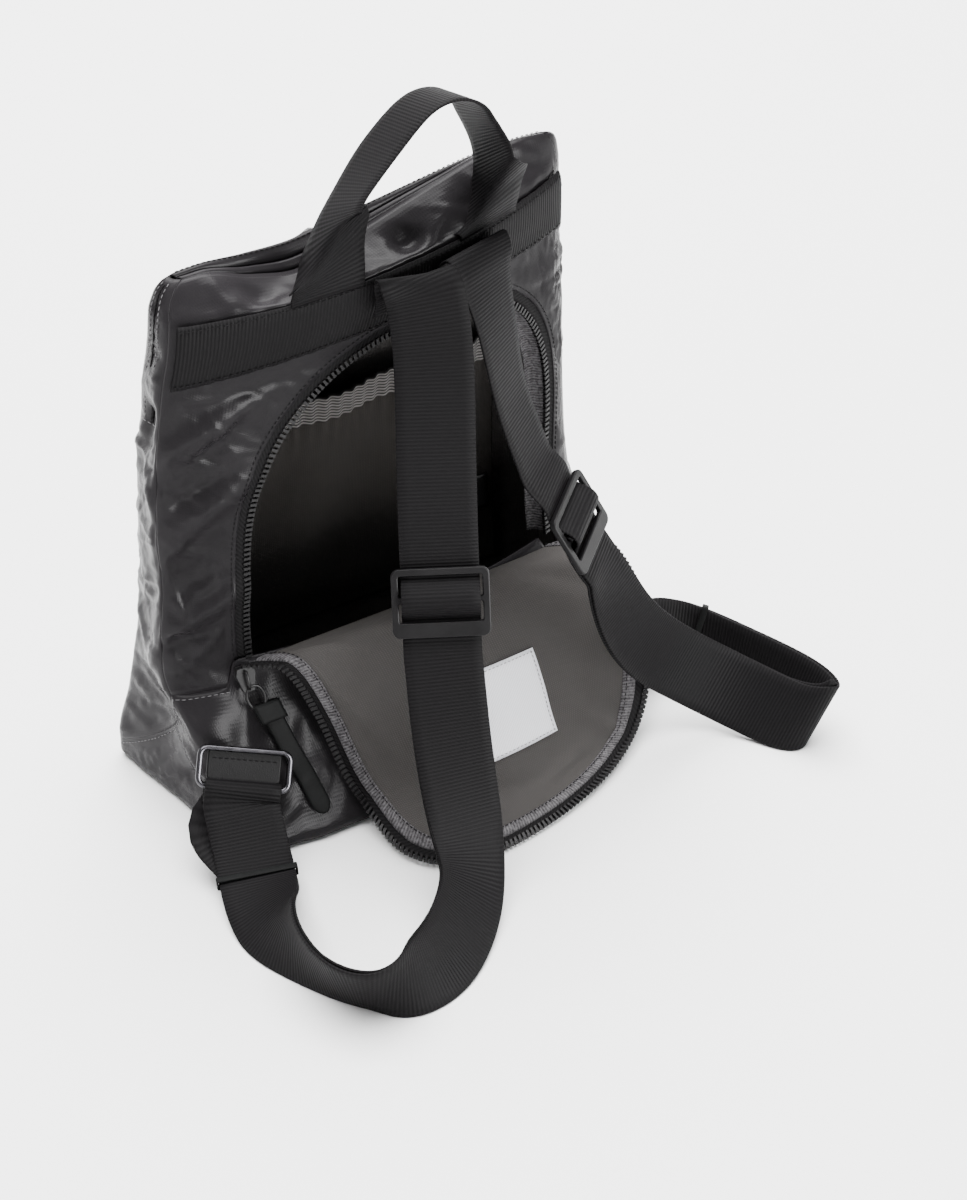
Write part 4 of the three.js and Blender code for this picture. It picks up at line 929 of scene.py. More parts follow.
# Door of the opening, unzipped and folded down
# Nylon outside and grey lining inside, bound round its edge with mottled tape; its half of the
# zip stands out past the binding, and a blank satin label is sewn to the lining.
DOOR_ROWS = np.array([
    # share of the length, left edge, middle, right edge, each x y z
    [0, -98, -19.5, 89.8, 0, -20, 89.8, 98, -18, 89.8],
    [0.12, -86, -31, 91, 2, -37, 96, 115, -26, 90],
    [0.35, -70, -44, 60, 8, -62, 71, 127, -45, 62],
    [0.6, -62, -62, 18, 12, -82, 32, 124, -64, 30],
    [0.8, -70, -98, 4, 14, -98, 10, 122, -80, 11],
    [1, -82, -133, 1.6, 14, -118, 2.4, 124, -97, 5],
])
DOOR_LENGTH = DOOR_TOP - HINGE
DOOR_STEP = 1.5
DOOR_CLEAR = 1.7
ZIP_WIDTH = 7.5
BINDING_WIDTH = 8.0


def door_place(x, along):
    """A point of the smooth folded door, by its place on the flat door."""
    row = smooth_read(DOOR_ROWS, along / DOOR_LENGTH)
    p = (x / DOOR_HALF)[..., None]
    low, middle, high = row[..., 1:4], row[..., 4:7], row[..., 7:10]
    return middle + p * (high - low) / 2 + p * p * ((low + high) / 2 - middle)


DOOR_CREASES = [
    # across, along, lean in degrees, half length, half width, height
    (-62, 22, 60, 30, 5, 2.2), (-40, 30, -48, 26, 5, -1.8), (-70, 60, 25, 28, 5, 2.0),
    (-48, 84, -30, 26, 5, 1.6), (-18, 24, 72, 34, 6, 1.8), (20, 20, -70, 36, 6, 2.0),
    (58, 28, 50, 30, 5, -1.8), (72, 60, -20, 30, 5, 2.0), (48, 96, 35, 26, 5, 1.6),
    (-20, 118, 80, 34, 6, -1.6), (30, 126, -72, 30, 6, 1.6), (64, 120, 20, 20, 5, 1.8),
]


def door_ripple(x, along):
    """Soft waves and creases of the folded door: rolls near the hinge and a buckled edge."""
    far = along / DOOR_LENGTH
    rolls = 1.3 * np.sin(x / 21.0 + 2.2 * far) * ease(0.05, 0.4, far) * ease(1.05, 0.6, far)
    height = rolls + 0.9 * np.sin(along / 9.0 + x / 60.0) * ease(0.6, 1.0, np.abs(x) / DOOR_HALF)
    for at_x, at_y, *form in DOOR_CREASES:
        height = height + ridge(x - at_x, along - at_y, *form)
    return height


def door_point(x, along, height):
    """A point of the door, height over the middle of its cloth, and never under the floor."""
    x, along = as_grids(x, along)
    sideways = door_place(x + DOOR_STEP, along) - door_place(x - DOOR_STEP, along)
    outward = door_place(x, along + DOOR_STEP) - door_place(x, np.maximum(0.0, along - DOOR_STEP))
    normal = unit(np.cross(outward, sideways))
    normal = np.where(normal[..., 2:] < 0, -normal, normal)
    p = door_place(x, along) + normal * (height + door_ripple(x, along))[..., None]
    p[..., 2] = np.maximum(p[..., 2], DOOR_CLEAR + height)
    return p


def door_rim(share, inset, height):
    x, z = door_arch(share, inset)
    return door_point(x, z - HINGE, height)


half_share = np.concatenate([np.linspace(0, STRAIGHT, 30)[:-1], np.linspace(STRAIGHT, 0.5, 60)])[:, None]
side_share = np.linspace(-1.0, 1.0, 90)[None, :]
sheet_x, sheet_z = door_arch(half_share, ZIP_WIDTH + BINDING_WIDTH - 3.0)
sheet_x = -sheet_x * side_share
sheet_along = np.broadcast_to(sheet_z - HINGE, sheet_x.shape)
for name, height, cloth, up, slot in (("door_lining", 1.0, lining, 1.0, "lining"),
                                      ("door_panel", -0.9, nylon, -1.0, "nylon_shell")):
    cut = door_point(sheet_x, sheet_along, height)
    piece = grid_piece(f"{name}_cloth", cut, [cloth], (0.0, 0.0, up), 0.9)
    dressed(piece, name)
rim_share = np.linspace(0.0, 1.0, 320)
bound = np.stack([door_rim(rim_share, ZIP_WIDTH + inset, height) for inset, height in (
    (BINDING_WIDTH, 1.3), (BINDING_WIDTH - 1, 1.9), (4.0, 1.9), (1.0, 1.5), (0.0, 0.2), (0.6, -1.3),
    (4.0, -1.7), (BINDING_WIDTH, -1.5))])
piece = grid_piece("door_binding_tape", bound, [binding], UP, 0.5, 1.0)
dressed(piece, "door_binding")
tape = np.stack([door_rim(rim_share, inset, 0.3) for inset in (ZIP_WIDTH + 2.5, 6.0, 4.5, 2.8)])
piece = grid_piece("door_zip_tape", tape, [zip_tape], UP, 0.7)
dressed(piece, "door_zip")
tooth_line = door_rim(rim_share, 1.9, 0.3)
tooth_out = door_rim(rim_share, 0.0, 0.3) - tooth_line
zip_teeth("door_teeth", tooth_line, tooth_out, np.broadcast_to(UP, tooth_line.shape))
stitched("door_binding_stitches", [door_rim(rim_share, ZIP_WIDTH + BINDING_WIDTH - 1.4, 2.5)], dark_thread,
         pitch=2.6, stitch=1.9, gauge=0.5)

label_satin = ribbed("white_satin_label", "#c6c6cc", "#d6d6db", 0.9, "DIAGONAL", 0.4, 0.2, 0.0003,
                     Roughness=0.55, Sheen_Weight=0.15)
LABEL_HALF = 22.0
LABEL_X = 12.0
LABEL_ALONG = 0.5 * DOOR_LENGTH
reach = np.linspace(-LABEL_HALF, LABEL_HALF, 26)
patch = door_point(LABEL_X + reach[None, :], LABEL_ALONG + reach[:, None], 1.9)
piece = grid_piece("door_label_patch", patch, [label_satin], UP, 0.5)
dressed(piece, "door_label")
near_edge = LABEL_HALF - 1.6
hem = np.linspace(-near_edge, near_edge, 20)
flat_hem = np.full(20, near_edge)
label_rows = [door_point(LABEL_X + x, LABEL_ALONG + y, 2.2) for x, y in (
    (hem, flat_hem), (hem, -flat_hem), (flat_hem, hem), (-flat_hem, hem))]
stitched("door_label_stitches", label_rows, pale_thread, pitch=2.4, stitch=1.7, gauge=0.4)


# Webbing band across the upper back
# Ribbed nylon webbing sewn along both edges over the feet of the handle and the tops of the
# straps; the stitching puckers its edges.
WEBBING_WIDTH = 38.0
WEBBING_THICK = 1.5
BAND_LOW = 252.0
BAND_HIGH = 283.0
BAND_CLEAR = 1.4

# Webbing: dense nylon with a rib across it and a herringbone of fine threads between; the real rib of
# 1.2 mm is drawn half as coarse again so that it shows.
webbing, tree, shader = new_material("ribbed_nylon_webbing", Roughness=0.6, Specular_IOR_Level=0.04)
rib = bands(tree, 1.8, "Y", 0.06)
thread = bands(tree, 1.1, "DIAGONAL", 0.4)
height = node(tree, "ShaderNodeMath", {0: thread, 1: 0.12, 2: rib}, operation="MULTIPLY_ADD")
rib_tone = two_tone(tree, rib, "#0b0a0b", "#191819")
tone = two_tone(tree, speckle(tree, 45.0, 4.0, 0.6), rib_tone, "#121112")
tree.links.new(tone, shader.inputs["Base Color"])
raised(tree, shader, height.outputs["Value"], 0.4, 0.0005)

along = np.linspace(1.022, 1.988, 260)[:, None]
upward = np.linspace(0.0, 1.0, 15)[None, :]
level = BAND_LOW + (BAND_HIGH - BAND_LOW) * upward
at_edge = ease(0.75, 1.0, np.abs(2 * upward - 1))
pucker = 0.22 * np.sin(along * 230.0) * at_edge + 0.2 * np.sin(along * 77.0) * at_edge
band_facing = skin_normal(along, level)
band = skin(along, level, -BAND_CLEAR - WEBBING_THICK) + band_facing * (pucker - 0.9 * at_edge)[..., None]
piece = grid_piece("yoke_band_webbing", band, [webbing], band_facing, 1.3)
dressed(piece, "yoke_band")
band_rows = [skin(np.linspace(1.03, 1.98, 200), BAND_LOW + (BAND_HIGH - BAND_LOW) * share,
                  -BAND_CLEAR - WEBBING_THICK - 0.1) for share in (0.075, 0.925)]
stitched("band_stitches", band_rows, dark_thread, pitch=3.0, stitch=2.2, gauge=0.6)


# Carry handle
# One length of the same webbing; its feet go under the band's upper edge and are folded askew above
# it, so that the webbing between them lies flat in the hand.
HANDLE_ROUTE = np.array([
    # middle x y z, direction across x y z
    [-39.5, -17, 285, 1, 0, 0], [-39.4, -17, 293, 0.95, 0, 0.3], [-39.2, -17, 298.5, 0.85, -0.05, 0.53],
    [-38.6, -17, 303.5, 0.7, -0.15, 0.7], [-37.6, -16.8, 308, 0.45, -0.45, 0.77],
    [-36, -16.5, 312.5, 0.22, -0.72, 0.66],
    [-33, -16, 318, 0.1, -0.84, 0.53], [-27, -15, 326, 0, -0.9, 0.43], [-9, -12, 343, -0.08, -0.96, 0.27],
    [12, -10, 358.5, -0.1, -0.96, 0.27], [28, -9, 361, -0.1, -0.96, 0.27],
    [40, -9, 355.5, -0.1, -0.96, 0.27],
    [46, -9, 346, -0.1, -0.92, 0.36], [51, -10.5, 335, -0.12, -0.86, 0.5],
    [53.7, -12, 325, -0.06, -0.82, 0.57], [53.6, -12.8, 316.5, 0, -0.78, 0.62],
    [52.6, -13, 309.5, 0.14, -0.68, 0.72], [51.4, -13, 304, 0.4, -0.52, 0.72],
    [50.6, -13, 299.5, 0.7, -0.22, 0.62], [51, -13, 296, 0.88, -0.05, 0.44], [52.5, -13, 292, 1, 0, 0],
])
FLOOR_CLEAR = 0.15
SWEEP_STEP = 2.0


def through(rows, spacing):
    """Stations about spacing apart on a smooth line through the rows of a route, row by row."""
    stations = []
    last = len(rows) - 1
    for i in range(last):
        a, b, c, d = (rows[min(last, max(0, k))] for k in (i - 1, i, i + 1, i + 2))
        count = max(1, int(round(np.linalg.norm(c[:3] - b[:3]) / spacing)))
        for t in np.arange(count) / count:
            curved = 2 * a - 5 * b + 4 * c - d + t * (3 * (b - c) + d - a)
            stations.append(b + 0.5 * t * (c - a + t * curved))
    stations.append(rows[last])
    made = np.array(stations)
    made[:, 3:] = unit(made[:, 3:])
    return made


def finer(stations, step):
    """The same line with stations every step, curved smoothly between the given ones."""
    gaps = np.maximum(0.05, step_lengths(stations[:, :3]))
    at = from_start(gaps)
    slope = np.diff(stations, axis=0) / gaps[:, None]
    blend = (gaps[:-1] / (gaps[:-1] + gaps[1:]))[:, None]
    tangents = np.vstack([slope[:1], slope[:-1] * (1 - blend) + slope[1:] * blend, slope[-1:]])
    new = np.linspace(0, at[-1], max(8, int(at[-1] / step)))
    i = np.clip(np.searchsorted(at, new) - 1, 0, len(gaps) - 1)
    share = ((new - at[i]) / gaps[i])[:, None]
    made = between(stations, tangents, i, share, gaps[i][:, None])
    made[:, 3:] = unit(made[:, 3:])
    return made


def faced_outward(mesh, weld=None):
    """Turns the faces of a closed mesh outward, with points nearer than weld made one."""
    tidy = bmesh.new()
    tidy.from_mesh(mesh)
    if weld:
        bmesh.ops.remove_doubles(tidy, verts=tidy.verts, dist=weld)
    bmesh.ops.recalc_face_normals(tidy, faces=tidy.faces)
    tidy.to_mesh(mesh)
    tidy.free()


def webbing_piece(name, stations, lean=0.0):
    """Webbing swept along stations, with rounded edges; UV runs across and along it in metres.

    With lean it keeps the stations' own direction across, even where that isn't square to its run."""
    middle = stations[:, :3].copy()
    way = unit(np.gradient(middle, axis=0))
    face = unit(np.cross(stations[:, 3:], way))
    across = unit(np.cross(way, face) * (1.0 - lean) + stations[:, 3:] * lean)
    across /= np.maximum(0.72, np.linalg.norm(np.cross(across, way), axis=1))[:, None]
    low = np.abs(across[:, 2]) * WEBBING_WIDTH / 2 + np.abs(face[:, 2]) * WEBBING_THICK / 2
    middle[:, 2] += np.maximum(0.0, FLOOR_CLEAR + low - middle[:, 2])
    half = WEBBING_WIDTH / 2
    thick = WEBBING_THICK / 2
    flats = np.linspace(-half + 0.5, half - 0.5, 9)
    section = [(u, thick) for u in flats] + [(half, 0.45 * thick), (half, -0.45 * thick)]
    section += [(u, -thick) for u in flats[::-1]] + [(-half, -0.45 * thick), (-half, 0.45 * thick)]
    section = np.array(section)
    points = middle[:, None] + across[:, None] * section[None, :, :1] + face[:, None] * section[None, :, 1:]
    count, ring = points.shape[:2]
    index = np.arange(count * ring).reshape(count, ring)
    turned = np.roll(index, -1, axis=1)
    quads = np.stack([index[:-1], turned[:-1], turned[1:], index[1:]], -1).reshape(-1, 4)
    faces = quads.tolist() + [index[0].tolist(), index[-1][::-1].tolist()]
    mesh = bpy.data.meshes.new(name)
    mesh.from_pydata((points.reshape(-1, 3) * MM).tolist(), [], faces)
    along = from_start(step_lengths(middle))
    uv = np.stack(np.broadcast_arrays(section[None, :, 0], along[:, None]), -1).reshape(-1, 2) * MM
    corner_vertex = np.empty(len(mesh.loops), dtype=int)
    mesh.loops.foreach_get("vertex_index", corner_vertex)
    mesh.uv_layers.new(name="cloth").data.foreach_set("uv", uv[corner_vertex].ravel())
    faced_outward(mesh)
    mesh.materials.append(webbing)
    mesh.shade_smooth()
    dressed(placed(f"{name}_webbing", mesh), name)


def sewn_row(row, level, height):
    """A route's end row moved onto the band, across it along the band's own line."""
    half = WEBBING_WIDTH / 2
    spots = np.array([row[0] - half, row[0], row[0] + half])
    left, middle, right = skin(back_girth(spots, np.full(3, level)), np.full(3, level), -BAND_CLEAR - height)
    return np.concatenate([middle, unit(right - left) * np.sign(row[3])])


def handle_foot(row):
    """Two stations that take an end of the handle under the band's upper edge."""
    sewn = sewn_row(row, BAND_HIGH, WEBBING_THICK / 2)
    up = unit(np.array(UP) - sewn[3:] * sewn[5])
    low, high = sewn.copy(), sewn.copy()
    low[:3] += -1.0 * up + np.array([0.0, 0.6, 0.0])
    high[:3] += 2.0 * up
    return np.array([low, high])


route = np.vstack([handle_foot(HANDLE_ROUTE[0]), HANDLE_ROUTE[1:-1], handle_foot(HANDLE_ROUTE[-1])[::-1]])
webbing_piece("carry_handle", finer(through(route, 6.0), SWEEP_STEP), 1.0)


# Shoulder straps
# Each is one length of webbing sewn into the band: single down to its slider, over the middle bar,
# on to the base ring, round it and back along itself to the slider, where its end is caught.
SLIDER_WIDTH = 47.4
SLIDER_HEIGHT = 34.0
SLIDER_RIM = 3.5
SLIDER_LOW_BAR = 7.5
SLIDER_THICK = 3.0
SLIDER_BAR = 1.2
SLIDER_BAR_AT = -1.5
RING_LENGTH = 48.0
RING_HEIGHT = 22.0
RING_WIRE = 3.0
LEFT_SEWN = ((264.0, 3.0), (275.0, 4.0))
RIGHT_SEWN = ((265.0, 0.6), (276.0, 1.6))
CLEAR = 0.3
LEFT_KEEPER = 42.0
RIGHT_KEEPER = 40.0
STATION = 4.0
LEFT_UPPER = np.array([
    [1, -18.6, 277, -1, 0.02, 0], [0.3, -28, 282.5, -0.92, 0.38, 0], [0.3, -35, 279, -0.89, 0.45, 0],
    [0.4, -39, 270, -0.88, 0.47, 0.02], [0, -43, 256, -0.87, 0.5, 0.04],
    [-2, -48, 238, -0.87, 0.5, 0.05], [-9, -60, 207, -0.87, 0.48, 0.05],
])
LEFT_SLIDER = np.array([-24, -87, 140, -0.85, 0.52, 0.02])
LEFT_LOWER = np.array([
    [-30, -100, 104, -0.85, 0.52, 0.04], [-34, -112, 75, -0.9, 0.4, 0.12], [-37, -126, 45, -0.93, 0.28, 0.2],
    [-41.5, -141, 25, -0.86, 0.2, 0.5], [-54, -159, 16.5, -0.68, 0.3, 0.66],
    [-85, -184, 15, -0.62, 0.28, 0.72],
    [-119, -193, 17.5, -0.5, 0.0, 0.86], [-136, -176, 18.5, -0.3, -0.22, 0.92],
    [-142, -150, 17, 0.0, -0.5, 0.86], [-141, -124, 13.5, 0.25, -0.72, 0.62],
    [-136, -102, 11, 0.55, -0.66, 0.45], [-126, -77, 10, 0.92, -0.39, -0.05],
    [-121.5, -60, 20, 0.9, -0.42, -0.12],
])
LEFT_RING = {"at": (-112, -43, 46), "long": (0.88, -0.43, -0.2), "short": (-0.5, -0.42, -0.76),
             "slack": (-7, 8, 2)}
RIGHT_UPPER = np.array([
    [37.5, -18.2, 278, 0.97, 0.05, 0], [37.8, -24.5, 285, 0.97, 0.24, 0.04],
    [37.4, -31, 280.5, 0.95, 0.3, 0.02],
    [37.2, -34, 270, 0.91, 0.4, -0.02], [39.2, -38, 252, 0.85, 0.51, -0.06],
    [42, -48, 212, 0.79, 0.6, -0.05], [48.5, -60, 178, 0.79, 0.61, 0],
])
RIGHT_SLIDER = np.array([66, -73, 145, 0.79, 0.61, 0.0])
RIGHT_LOWER = np.array([
    [76, -83, 113, 0.84, 0.5, 0.08], [87, -83, 86, 0.9, 0.36, 0.14], [98.5, -83, 67, 0.85, 0.3, 0.36],
    [116, -81, 47, 0.73, 0.2, 0.62], [137, -86, 29, 0.67, 0.15, 0.69], [154, -104, 18.5, 0.6, 0.06, 0.78],
    [164, -129, 16.8, 0.5, -0.06, 0.86], [171.5, -141, 16.8, 0.42, -0.14, 0.89],
    [179.5, -140, 17.1, 0.42, -0.12, 0.89],
    [182.5, -122, 17.6, 0.42, 0, 0.9], [174, -88, 18.4, 0.32, 0.08, 0.94], [163, -59, 20.5, 0.2, 0.18, 0.96],
    [149, -46, 25, 0.3, 0.36, 0.88], [136, -43.5, 31, 0.55, 0.5, 0.66],
])
RIGHT_RING = {"at": (116.8, -34.4, 45), "long": (0.62, 0.76, 0.18), "short": (0.6, -0.32, -0.73),
              "slack": (0, 0, 0)}
LAYER = WEBBING_THICK / 2 + CLEAR / 2 + 0.1
BAR_TURN = math.hypot(SLIDER_BAR, SLIDER_THICK / 2) + CLEAR + WEBBING_THICK / 2
RING_TURN = RING_WIRE / math.sqrt(2) + CLEAR + WEBBING_THICK / 2


def slider_frame(place, before, after):
    """Place and directions of a strap slider, between the rows of the strap before and after it."""
    along = unit(after[:3] - before[:3])
    across = unit(place[3:] - along * np.dot(place[3:], along))
    return {"at": place[:3], "along": along, "across": across, "out": unit(np.cross(across, along))}


def ring_frame(ring):
    """Place and directions of a base ring; out points to the side of the opening."""
    long = unit(np.array(ring["long"], float))
    short = np.array(ring["short"], float)
    short = unit(short - long * np.dot(short, long))
    out = unit(np.cross(long, short))
    out = -out if out[1] > 0 else out
    return {"at": np.array(ring["at"], float), "long": long, "short": short, "out": out}


def shoulder_strap(sewn_on, route, slider, lower, ring, from_ring):
    """Stations of a whole strap, and the place of its keeper."""
    sewn = [sewn_row(route[0], level, WEBBING_THICK + gap) for level, gap in sewn_on]
    upper = np.vstack([sewn, route[1:]])
    hold = slider_frame(slider, upper[-1], lower[0])
    hoop = ring_frame(ring)
    facing = 1.0 if hold["out"][1] < 0 else -1.0

    def in_slider(t, n):
        return hold["at"] + hold["along"] * t + hold["out"] * n * facing

    def stations(pairs):
        return np.array([np.concatenate([in_slider(t, n), hold["across"]]) for t, n in pairs])

    behind = -(SLIDER_THICK / 2 + CLEAR + WEBBING_THICK / 2)
    crest = BAR_TURN + WEBBING_THICK + CLEAR
    weave = stations([
        (-21, behind + 0.9), (-17, behind), (-13.2, behind), (-10, -0.4), (-7, 2.3), (-4.4, crest - 0.6),
        (SLIDER_BAR_AT, crest), (1, crest - 0.5), (3.2, 2.3), (5.4, -0.2), (7.6, behind + 0.3),
        (9.3, behind - 0.05), (13, behind), (17, behind), (21, behind + 0.3)])
    deep = behind - 2 * LAYER
    back = stations([(21, deep + 0.3), (17, deep), (10, deep), (5, deep + 0.6), (1.5, -BAR_TURN - 0.2)])
    angles = np.radians(np.linspace(-90, 80, 9))
    turn = stations([(SLIDER_BAR_AT - BAR_TURN * math.cos(a), BAR_TURN * math.sin(a)) for a in angles])
    bar = hoop["at"] + hoop["short"] * (RING_HEIGHT / 2 - RING_WIRE / 2)
    end_across = hoop["long"] if np.dot(hoop["long"], lower[-1][3:]) >= 0 else -hoop["long"]
    out_side = unit(hoop["out"] + hoop["short"] * 0.25)
    inward = -unit(hoop["short"] - hoop["out"] * 0.25)
    first = np.concatenate([in_slider(27, behind - LAYER + 0.6), hold["across"]])
    ring_end = np.concatenate([bar - inward * 9.0, end_across])
    middle = through(np.vstack([first, lower, ring_end]), STATION)
    for _ in range(14):
        middle[1:-1] = 0.5 * middle[1:-1] + 0.25 * (middle[:-2] + middle[2:])
    middle[:, 3:] = unit(middle[:, 3:])
    last = len(middle) - 1
    keeper_at = last - int(round(from_ring / STATION))
    way = np.empty((last + 1, 3))
    for i in range(last + 1):
        way[i] = middle[min(last, i + 1), :3] - middle[max(0, i - 1), :3]
    face = unit(np.cross(middle[:, 3:], way))
    number = np.arange(last + 1.0)
    wider = LAYER + (RING_TURN - LAYER) * ease(last - 9, last, number)
    share = np.clip((number - keeper_at - 1.5) / (last - keeper_at - 1.5), 0.0, 1.0)
    slack = np.sin(np.pi * share)[:, None] ** 2 * np.array(ring["slack"], float)

    def layer(sign, loose):
        made = middle.copy()
        made[:, :3] += face * (sign * wider)[:, None] + slack * loose
        return made

    start_face = np.cross(middle[0, 3:], middle[1, :3] - middle[0, :3])
    front = 1.0 if np.dot(start_face, hold["out"] * facing) >= 0 else -1.0
    keep = 1.0 if np.dot(face[last], out_side) >= 0 else -1.0
    angles = np.radians(np.linspace(-90, 90, 7))
    swing = -front * keep
    bend = np.array([np.concatenate([
        bar + inward * RING_TURN * math.cos(a) + out_side * swing * RING_TURN * math.sin(a), end_across])
        for a in angles])
    whole = np.vstack([
        through(upper, 12.0), weave, layer(front, 0.0), bend, layer(-front, 1.0)[::-1], back, turn])
    keeper = {"at": middle[keeper_at, :3], "across": middle[keeper_at, 3:],
              "along": unit(middle[keeper_at + 1, :3] - middle[keeper_at - 1, :3])}
    return whole, keeper


left_strap, left_keeper = shoulder_strap(
    LEFT_SEWN, LEFT_UPPER, LEFT_SLIDER, LEFT_LOWER, LEFT_RING, LEFT_KEEPER)
right_strap, right_keeper = shoulder_strap(
    RIGHT_SEWN, RIGHT_UPPER, RIGHT_SLIDER, RIGHT_LOWER, RIGHT_RING, RIGHT_KEEPER)
webbing_piece("shoulder_strap_left", finer(left_strap, SWEEP_STEP))
webbing_piece("shoulder_strap_right", finer(right_strap, SWEEP_STEP), 0.85)


# Strap sliders
# Moulded acetal frames with a middle bar and a broad plain lower bar, lightly grained, with
# rounded edges.
acetal, tree, shader, worn = mottled("moulded_acetal", "#0a090a", "#141314", 60.0, 3.0,
                                     Roughness=0.38, Specular_IOR_Level=0.12)
roughened(tree, shader, worn, 0.34, 0.52)
raised(tree, shader, speckle(tree, 1500.0, 3.0, 0.6), 0.25, 0.0002)


CORNER_STEPS = 6
WELD = 1e-6
SLIDER_CORNER = 4.0
SLOT_CORNER = 1.2
SLIDER_ROUNDING = 0.6


def rounded_box(x0, y0, x1, y1, radius):
    """Corner points of a rounded rectangle, anticlockwise."""
    points = []
    for cx, cy, start in ((x1 - radius, y0 + radius, -90), (x1 - radius, y1 - radius, 0),
                          (x0 + radius, y1 - radius, 90), (x0 + radius, y0 + radius, 180)):
        for k in range(CORNER_STEPS + 1):
            a = math.radians(start + 90.0 * k / CORNER_STEPS)
            points.append((cx + radius * math.cos(a), cy + radius * math.sin(a)))
    return points


def closed_line(curve, points):
    """Adds a closed line through points in millimetres to a curve."""
    spline = curve.splines.new("POLY")
    spline.points.add(len(points) - 1)
    for spot, (x, y, z) in zip(spline.points, points):
        spot.co = (x * MM, y * MM, z * MM, 1.0)
    spline.use_cyclic_u = True


def moulded_plate(name, outlines, thick, rounding, at, across, up, material):
    """A plate with holes and rounded edges, first outline outside; across and up are its own x and y."""
    curve = bpy.data.curves.new(name, "CURVE")
    curve.dimensions = "2D"
    curve.fill_mode = "BOTH"
    for outline in outlines:
        closed_line(curve, [(x, y, 0.0) for x, y in outline])
    curve.extrude = (thick / 2 - rounding) * MM
    curve.bevel_depth = rounding * MM
    curve.bevel_resolution = 2
    curve.offset = -rounding * MM
    piece = made_real(placed(name, curve))
    spin = Matrix(np.stack([across, up, np.cross(across, up)], -1).tolist()).to_4x4()
    piece.data.transform(Matrix.Translation((at * MM).tolist()) @ spin)
    faced_outward(piece.data, WELD)
    piece.data.materials.clear()
    piece.data.materials.append(material)
    return piece


for name, place_row, before, after in (
        ("strap_slider_left", LEFT_SLIDER, LEFT_UPPER[-1], LEFT_LOWER[0]),
        ("strap_slider_right", RIGHT_SLIDER, RIGHT_UPPER[-1], RIGHT_LOWER[0])):
    hold = slider_frame(place_row, before, after)
    half = SLIDER_WIDTH / 2
    tall = SLIDER_HEIGHT / 2
    inner = half - SLIDER_RIM
    outlines = [
        rounded_box(-half, -tall, half, tall, SLIDER_CORNER),
        rounded_box(-inner, -tall + SLIDER_RIM, inner, SLIDER_BAR_AT - SLIDER_BAR, SLOT_CORNER),
        rounded_box(-inner, SLIDER_BAR_AT + SLIDER_BAR, inner, tall - SLIDER_LOW_BAR, SLOT_CORNER),
    ]
    piece = moulded_plate(f"{name}_moulding", outlines, SLIDER_THICK, SLIDER_ROUNDING, hold["at"],
                          hold["across"], hold["along"], acetal)
    dressed(piece, name)


# Base rings and their leather patches
# Gunmetal wire bent to a long rounded ring, held to the corner of the base by a patch of black
# leather with a row of stitches under its upper edge.
gunmetal, tree, shader, drawn = mottled("gunmetal_wire", "#2f2e31", "#4a494c", 300.0, 3.0,
                                        Metallic=1.0, Roughness=0.3)
roughened(tree, shader, drawn, 0.22, 0.38)
leather, tree, shader, _ = mottled("smooth_black_leather", "#0a090a", "#161516", 120.0, 3.0,
                                   Roughness=0.5, Specular_IOR_Level=0.08)
place = node(tree, "ShaderNodeTexCoord")
pebble = node(tree, "ShaderNodeTexVoronoi", {"Vector": place.outputs["Object"], "Scale": 900.0},
              feature="DISTANCE_TO_EDGE")
raised(tree, shader, pebble.outputs["Distance"], 0.35, 0.0003)
RING_CORNER = 4.0
LEATHER_HALF = 18.5
LEATHER_HIGH = 9.5
LEATHER_LOW = 6.5
LEATHER_THICK = 2.2


def bent_wire(name, points, gauge, material):
    """Round wire along a closed line of points in millimetres."""
    curve = bpy.data.curves.new(name, "CURVE")
    curve.dimensions = "3D"
    curve.bevel_depth = gauge * MM / 2
    curve.bevel_resolution = 4
    closed_line(curve, points)
    piece = made_real(placed(name, curve))
    piece.data.materials.clear()
    piece.data.materials.append(material)
    piece.data.shade_smooth()
    return piece


for side, ring in (("left", LEFT_RING), ("right", RIGHT_RING)):
    hoop = ring_frame(ring)
    half = RING_LENGTH / 2 - RING_WIRE / 2
    tall = RING_HEIGHT / 2 - RING_WIRE / 2
    outline = rounded_box(-half, -tall, half, tall, RING_CORNER)
    loop = [hoop["at"] + hoop["long"] * x + hoop["short"] * y for x, y in outline]
    piece = bent_wire(f"base_ring_{side}_wire", loop, RING_WIRE, gunmetal)
    dressed(piece, f"base_ring_{side}")
    under = hoop["at"] - hoop["out"] * (RING_WIRE / 2 + 1.2)
    outline = rounded_box(-LEATHER_HALF, -LEATHER_HIGH, LEATHER_HALF, LEATHER_LOW, 2.5)
    piece = moulded_plate(f"ring_tab_{side}_leather", [outline], LEATHER_THICK, 0.8, under, hoop["long"],
                          hoop["short"], leather)
    dressed(piece, f"ring_tab_{side}")
    row_at = under + hoop["out"] * 1.15 - hoop["short"] * 4.6
    row = [row_at + hoop["long"] * x for x in np.linspace(-15, 15, 12)]
    stitched(f"ring_tab_{side}_stitches", [row], dark_thread, pitch=3.0, stitch=2.2, gauge=0.7)


